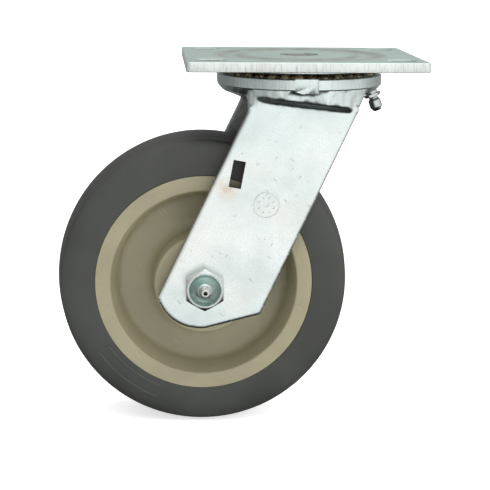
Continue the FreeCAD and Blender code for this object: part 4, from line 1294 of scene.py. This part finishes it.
class CASTER_OT_axle(Operator):
    """Axle bolt, hollow on the caster but built solid here, with its dished head, lock nut, insert, bushing and
    thrust washers
    """

    bl_idname = "caster.axle"
    bl_label = "Axle bolt and nut"
    bl_options = {"REGISTER", "UNDO"}

    def execute(self, context):
        self.bolt(context)
        self.nut(context)
        self.plain_rings(context)
        return {"FINISHED"}

    def bolt(self, context):
        s = context.scene.caster_hardware
        face_y = HEAD_Y
        seat_y = HEAD_Y + s.head_height
        head = hexagon("axle_bolt_body", s.across_flats, face_y, seat_y, "Y", AXLE)
        combine(head, [corner_cone("head_cone", s.across_flats, face_y, seat_y, ("low",), "Y", AXLE)],
                "INTERSECT")
        dish_y = face_y + s.dish_depth
        dish = rounded([(0, face_y - MM, 0), (s.dish_radius + 0.9 * MM, face_y - MM, 0),
                        (s.dish_radius + 0.6 * MM, face_y + 0.2 * MM, 0.3 * MM),
                        (s.dish_radius - 0.6 * MM, face_y + 0.55 * s.dish_depth, 3.0 * MM),
                        (s.dish_radius - 3.6 * MM, dish_y, 2.6 * MM), (0, dish_y, 0)], 8)
        combine(head, [lathe("head_dish", dish, 96, "Y", AXLE)], "DIFFERENCE")
        break_edges(head, s.edge, 20)
        thread_y = -HEAD_Y - s.head_height - 6 * MM
        shank = lathe("bolt_shank", [(0, seat_y - MM), (s.pin_radius, seat_y - MM), (s.pin_radius, thread_y),
                                     (0, thread_y)], 72, "Y", AXLE)
        screw = thread("bolt_thread", s.pin_radius, thread_y - 0.4 * MM, BOLT_END_Y, s.pitch, "Y", AXLE)
        combine(shank, [screw], "UNION")
        combine(head, [shank], "UNION")
        materials = [shared(context, "hardware"), shared(context, "dish")]
        finish_piece(head, "swivel", ["axle_bolt"], materials, 26)
        for face in head.data.polygons:
            reach = math.hypot(face.center.x - AXLE.x, face.center.z - AXLE.z)
            if face.center.y < dish_y + 0.1 * MM and reach < s.dish_radius + 0.4 * MM:
                face.material_index = 1

    def nut(self, context):
        s = context.scene.caster_hardware
        low, high = span("axle_nut", 1)
        hex_high = low + 11.0 * MM
        nut = hexagon("axle_lock_nut", s.across_flats, low, hex_high, "Y", AXLE)
        cone = corner_cone("nut_cone", s.across_flats, low, hex_high, ("low", "high"), "Y", AXLE)
        combine(nut, [cone], "INTERSECT")
        collar_r = s.across_flats / 2 * 0.95
        lip_r = 7.6 * MM
        collar = lathe("nut_collar", rounded([
            (0, hex_high - MM, 0), (collar_r, hex_high - MM, 0), (collar_r, high - 0.2 * MM, 1.3 * MM),
            (lip_r, high, 0.3 * MM), (0, high, 0)], 6), 96, "Y", AXLE)
        combine(nut, [collar], "UNION")
        insert_low, insert_high = span("axle_nut_insert", 1)
        hole = [(0, low - MM), (s.pin_radius, low - MM), (s.pin_radius, hex_high),
                (8.1 * MM, hex_high), (8.1 * MM, insert_high), (lip_r, insert_high),
                (lip_r, high + MM), (0, high + MM)]
        combine(nut, [lathe("nut_hole", hole, 96, "Y", AXLE)], "DIFFERENCE")
        break_edges(nut, s.edge, 26)
        finish_piece(nut, "swivel", ["axle_nut"], [shared(context, "hardware")], 26)
        ring = lathe("nut_lock_ring", rounded([
            (s.pin_radius, insert_low, 0), (8.1 * MM, insert_low, 0), (8.1 * MM, insert_high, 0.3 * MM),
            (s.pin_radius, insert_high, 0.6 * MM)], 4), 72, "Y", AXLE)
        finish_piece(ring, "swivel", ["axle_nut_insert"], [shared(context, "nylon")])

    def plain_rings(self, context):
        s = context.scene.caster_hardware
        low, high = span("spanner_bushing", 1)
        outer = span("spanner_bushing", 2)[1] - AXLE.z
        inner = s.pin_radius + 0.1 * MM
        self.ring(context, "hub_bushing", "spanner_bushing", "bearing_steel", inner, outer, low, high, "bearing")
        for node, name in (("thrust_washer_near", "near_thrust_ring"), ("thrust_washer_far", "far_thrust_ring")):
            low, high = span(node, 1)
            reach = span(node, 2)[1] - AXLE.z
            self.ring(context, name, node, "zinc_hardware", outer + 0.1 * MM, reach, low, high, "hardware")

    def ring(self, context, name, node, slot, inner, outer, low, high, material):
        corner = 0.2 * MM
        outline = rounded([(inner, low, corner), (outer, low, corner), (outer, high, corner),
                           (inner, high, corner)], 3)
        ring = lathe(name, outline, 96, "Y", AXLE)
        finish_piece(ring, "swivel", [node], [shared(context, material)])


class CASTER_OT_tyre(Operator):
    """Soft tread with rounded shoulders and an empty moulded label frame"""

    bl_idname = "caster.tyre"
    bl_label = "Tyre"
    bl_options = {"REGISTER", "UNDO"}

    def execute(self, context):
        s = context.scene.caster_wheel
        half, core = s.half_width, s.core_radius
        key, lock = core - 2.6 * MM, half - 10.4 * MM
        outline = self.section(s)
        outline += rounded([(core, half - 0.35 * MM, 0), (core, lock, 0), (key, lock - 2.6 * MM, 0),
                            (key, -lock + 2.6 * MM, 0), (core, -lock, 0), (core, -half + 0.35 * MM, 0)], 2)
        tyre = lathe("tread_tyre", outline, s.turns, "Y", AXLE)
        combine(tyre, self.label_frame(s), "UNION")
        materials = [shared(context, "tread"), shared(context, "dusty_tread")]
        finish_piece(tyre, "wheel", ["tyre"], materials, 40)
        for face in tyre.data.polygons:
            radius = math.hypot(face.center.x - AXLE.x, face.center.z - AXLE.z)
            side = core + MM < radius < core + 12 * MM
            if side and face.center.y < -self.side_reach(s, radius) - 0.04 * MM:
                face.material_index = 1
        return {"FINISHED"}

    def section(self, s):
        """Outside of the tyre from its near side, over the crowned tread, to its far side."""
        flat = s.half_width - s.shoulder
        rise = s.tyre_radius - s.crowning - s.core_radius
        steps = 26
        arc = [(s.core_radius + rise * math.sin(math.pi / 2 * step / steps),
                flat + s.shoulder * math.sqrt(math.cos(math.pi / 2 * step / steps)))
               for step in range(1, steps)]
        arc.append((s.core_radius + rise, flat))
        start = [(s.core_radius + 0.4 * MM, s.half_width)]
        tread = []
        for step in range(1, 16):
            y = -flat + 2 * flat * step / 16
            tread.append((s.tyre_radius - s.crowning * (y / flat) ** 2, y))
        half = start + arc
        return [(r, -y) for r, y in half] + tread + [(r, y) for r, y in reversed(half)]

    def side_reach(self, s, radius):
        """How far the tyre's side stands from the centre plane at one radius."""
        share = (radius - s.core_radius) / (s.tyre_radius - s.crowning - s.core_radius)
        return s.half_width - s.shoulder + s.shoulder * math.sqrt(math.sqrt(1 - share * share))

    def label_frame(self, s):
        """Thin raised frame, empty inside, that follows the tyre's near side."""
        inner, outer = s.core_radius + 3.4 * MM, s.tyre_radius - 10.4 * MM
        start, end = math.radians(214), math.radians(248)
        bead = 0.34 * MM
        route = []
        for step in range(33):
            route.append((outer, start + (end - start) * step / 32))
        for step in range(33):
            route.append((inner, end + (start - end) * step / 32))
        curve = bpy.data.curves.new("label_frame", "CURVE")
        curve.dimensions = "3D"
        curve.bevel_depth = bead
        curve.bevel_resolution = 2
        spline = curve.splines.new("POLY")
        spline.points.add(len(route) - 1)
        for point, (radius, angle) in zip(spline.points, route):
            reach = self.side_reach(s, radius)
            point.co = (AXLE.x + radius * math.cos(angle), -reach, AXLE.z + radius * math.sin(angle), 1)
        spline.use_cyclic_u = True
        shape = link("label_frame_curve", curve)
        mesh = flattened(shape)
        bpy.data.objects.remove(shape)
        return [link("label_frame", mesh)]


class CASTER_OT_wheel_core(Operator):
    """Moulded core with drafted recesses, web and hub"""

    bl_idname = "caster.wheel_core"
    bl_label = "Wheel core"
    bl_options = {"REGISTER", "UNDO"}

    def execute(self, context):
        s = context.scene.caster_wheel
        half, core = s.half_width, s.core_radius
        near = self.side(s, -1)
        far = [(r, -y, e) for r, y, e in reversed(near)]
        key, lock = core - 2.6 * MM, half - 10.4 * MM
        rim = [(core, lock, 0), (key, lock - 2.6 * MM, 0), (key, -lock + 2.6 * MM, 0), (core, -lock, 0)]
        outline = rounded(far + rim + near, 7)
        wheel = lathe("moulded_core", outline, s.turns, "Y", AXLE)
        finish_piece(wheel, "wheel", ["wheel_core"], [shared(context, "core")], 40)
        return {"FINISHED"}

    def side(self, s, sign):
        """One side of the section, from the rim's outer edge to the bore, with corner radii."""
        half, core = s.half_width, s.core_radius
        ring = core - s.rim_ring
        web = s.web / 2
        wall = ring - 4.4 * MM
        hub_end = CORE_HALF
        return [
            (core, sign * half, 0.3 * MM),
            (ring + 0.1 * MM, sign * half, 1.1 * MM),
            (wall, sign * web, 4.0 * MM),
            (s.hub_radius + 1.6 * MM, sign * web, 5.5 * MM),
            (s.hub_radius, sign * hub_end, 1.4 * MM),
            (s.bore, sign * hub_end, 0.3 * MM),
        ]


class CASTER_OT_hub_bearing(Operator):
    """Bearing sleeve, rollers and cage inside the hub"""

    bl_idname = "caster.hub_bearing"
    bl_label = "Hub bearing"
    bl_options = {"REGISTER", "UNDO"}

    def execute(self, context):
        s = context.scene.caster_race
        low, high = span("bearing_sleeve", 1)
        outer = span("bearing_sleeve", 2)[1] - AXLE.z
        outline = rounded([(outer - 1.3 * MM, low, 0.2 * MM), (outer, low, 0.2 * MM), (outer, high, 0.2 * MM),
                           (outer - 1.3 * MM, high, 0.2 * MM)], 3)
        sleeve = lathe("bearing_sleeve_ring", outline, 96, "Y", AXLE)
        steel = shared(context, "bearing")
        finish_piece(sleeve, "wheel", ["bearing_sleeve"], [steel])
        low, high = span("bearing_rollers", 1)
        reach = span("bearing_rollers", 0)[1] - AXLE.x
        cage_low, cage_high = span("roller_cage", 0)
        pitch = (cage_high - cage_low) / 2 - 1.0 * MM
        radius = reach - pitch
        place = Matrix.Translation(AXLE) @ Matrix.Rotation(math.pi / 2, 4, "X")
        rollers = ring_of_parts("hub_rollers", "roller", steel, s.roller_count, pitch, radius, high - low, place)
        finish_piece(rollers, "rollers", ["bearing_rollers"], [steel], 60)
        cage = frame["nodes"]["roller_cage"]
        cage.data.materials.clear()
        cage.data.materials.append(shared(context, "hardware"))
        return {"FINISHED"}


class CASTER_OT_stage(Operator):
    """Pale floor, soft studio light and the camera"""

    bl_idname = "caster.stage"
    bl_label = "Stage"
    bl_options = {"REGISTER", "UNDO"}

    def execute(self, context):
        s = context.scene.caster_stage
        self.floor(s)
        self.world(context)
        self.lights()
        self.camera(context, s)
        context.scene.view_settings.view_transform = "Standard"
        return {"FINISHED"}

    def floor(self, s):
        level = span("tyre", 2)[0] - 0.05 * MM
        bm = bmesh.new()
        bmesh.ops.create_grid(bm, x_segments=1, y_segments=1, size=14.0)
        bmesh.ops.translate(bm, vec=(0, 0, level), verts=bm.verts)
        floor = link("floor", to_mesh(bm, "floor"))
        finish = Finish("pale_floor")
        tone = finish.ramp(finish.noise(3.0, 2.0), [(0.3, tuple(c * 0.985 for c in s.floor)), (0.7, tuple(s.floor))])
        finish.set(Base_Color=tone, Roughness=0.9, Emission_Color=(1.0, 1.0, 1.0, 1.0), Emission_Strength=0.62)
        floor.data.materials.append(finish.material)
        floor.visible_glossy = False
        self.surround(level, finish.material)

    def surround(self, level, material):
        """Pale wall far behind the floor on all sides: it is seen, but it neither lights nor shades."""
        bm = bmesh.new()
        bmesh.ops.create_cone(bm, cap_ends=False, segments=96, radius1=13.5, radius2=13.5, depth=8.0)
        bmesh.ops.translate(bm, vec=(0, 0, level + 3.9), verts=bm.verts)
        wall = link("surround", to_mesh(bm, "surround"))
        wall.data.materials.append(material)
        wall.visible_glossy = False
        wall.visible_diffuse = False
        wall.visible_shadow = False

    def world(self, context):
        """Studio surround: bright in front, above and to the right, dim behind, dark left and below."""
        world = bpy.data.worlds.new("studio")
        context.scene.world = world
        world.use_nodes = True
        nodes, links = world.node_tree.nodes, world.node_tree.links
        background = nodes["Background"]
        coords = nodes.new("ShaderNodeTexCoord")
        split = nodes.new("ShaderNodeSeparateXYZ")
        links.new(coords.outputs["Generated"], split.inputs["Vector"])
        shades = []
        for axis, stops in STUDIO_SHADES:
            shift = nodes.new("ShaderNodeMath")
            shift.operation = "MULTIPLY_ADD"
            shift.inputs[1].default_value = 0.5
            shift.inputs[2].default_value = 0.5
            links.new(split.outputs[axis], shift.inputs[0])
            ramp = nodes.new("ShaderNodeValToRGB")
            links.new(shift.outputs[0], ramp.inputs["Fac"])
            elements = ramp.color_ramp.elements
            while len(elements) < len(stops):
                elements.new(0.5)
            for element, (reach, shade) in zip(elements, stops):
                element.position = reach * 0.5 + 0.5
                element.color = (shade, shade, shade, 1)
            shades.append(ramp.outputs["Color"])
        for operation, shade in (("MULTIPLY", 1), ("MULTIPLY", 2), ("ADD", 3)):
            blend = nodes.new("ShaderNodeVectorMath")
            blend.operation = operation
            links.new(shades[0], blend.inputs[0])
            links.new(shades[shade], blend.inputs[1])
            shades[0] = blend.outputs[0]
        links.new(shades[0], background.inputs["Color"])
        background.inputs["Strength"].default_value = STUDIO_STRENGTH

    def lights(self):
        for name, place, size, power, target in (
                ("right_softbox", (0.8, -0.6, 0.2), 0.9, 4.5, (0.0, 0, -0.1)),
                ("top_softbox", (0.1, 0.1, 1.7), 1.6, 3.5, (0, 0, -0.1))):
            light = bpy.data.lights.new(name, "AREA")
            light.size = size
            light.energy = power
            lamp = bpy.data.objects.new(name, light)
            bpy.context.scene.collection.objects.link(lamp)
            lamp.location = place
            lamp.visible_glossy = name == "top_softbox"
            lamp.rotation_euler = (Vector(target) - Vector(place)).to_track_quat("-Z", "Y").to_euler()

    def camera(self, context, s):
        ahead = Vector((math.sin(s.heading) * math.cos(s.dip), math.cos(s.heading) * math.cos(s.dip),
                        -math.sin(s.dip)))
        level = Vector((math.cos(s.heading), -math.sin(s.heading), 0))
        upward = level.cross(ahead)
        right = level * math.cos(s.roll) + upward * math.sin(s.roll)
        top = upward * math.cos(s.roll) - level * math.sin(s.roll)
        lens = bpy.data.cameras.new("camera")
        lens.sensor_width = 36.0
        lens.lens = s.lens
        lens.clip_start = 0.01
        lens.clip_end = 60.0
        camera = bpy.data.objects.new("camera", lens)
        context.scene.collection.objects.link(camera)
        turn = Matrix((right, top, -ahead)).transposed().to_4x4()
        camera.matrix_world = Matrix.Translation(s.camera) @ turn
        context.scene.camera = camera


class CASTER_PT_panel(Panel):
    """Lists the caster's pieces"""

    bl_idname = "CASTER_PT_panel"
    bl_label = "Swivel caster"
    bl_space_type = "VIEW_3D"
    bl_region_type = "UI"
    bl_category = "Caster"

    def draw(self, context):
        for operator in OPERATORS:
            self.layout.operator(operator.bl_idname)
        for name, _ in GROUPS:
            settings = getattr(context.scene, name)
            box = self.layout.box()
            box.label(text=name.replace("_", " ").capitalize())
            for key in settings.__annotations__:
                box.prop(settings, key)


OPERATORS = (
    CASTER_OT_top_plate,
    CASTER_OT_race_balls,
    CASTER_OT_king_stack,
    CASTER_OT_fork,
    CASTER_OT_grease_fittings,
    CASTER_OT_axle,
    CASTER_OT_tyre,
    CASTER_OT_wheel_core,
    CASTER_OT_hub_bearing,
    CASTER_OT_stage,
)

GROUPS = (
    ("caster_plate", PlateSettings),
    ("caster_fork", ForkSettings),
    ("caster_wheel", WheelSettings),
    ("caster_race", RaceSettings),
    ("caster_hardware", HardwareSettings),
    ("caster_finish", FinishSettings),
    ("caster_stage", StageSettings),
)


def register():
    for name, group in GROUPS:
        bpy.utils.register_class(group)
        setattr(bpy.types.Scene, name, PointerProperty(type=group))
    for operator in OPERATORS:
        bpy.utils.register_class(operator)
    bpy.utils.register_class(CASTER_PT_panel)


def unregister():
    bpy.utils.unregister_class(CASTER_PT_panel)
    for operator in reversed(OPERATORS):
        bpy.utils.unregister_class(operator)
    for name, group in reversed(GROUPS):
        delattr(bpy.types.Scene, name)
        bpy.utils.unregister_class(group)


def main():
    register()
    for operator in OPERATORS:
        category, action = operator.bl_idname.split(".")
        getattr(getattr(bpy.ops, category), action)()


if __name__ == "__main__":
    main()
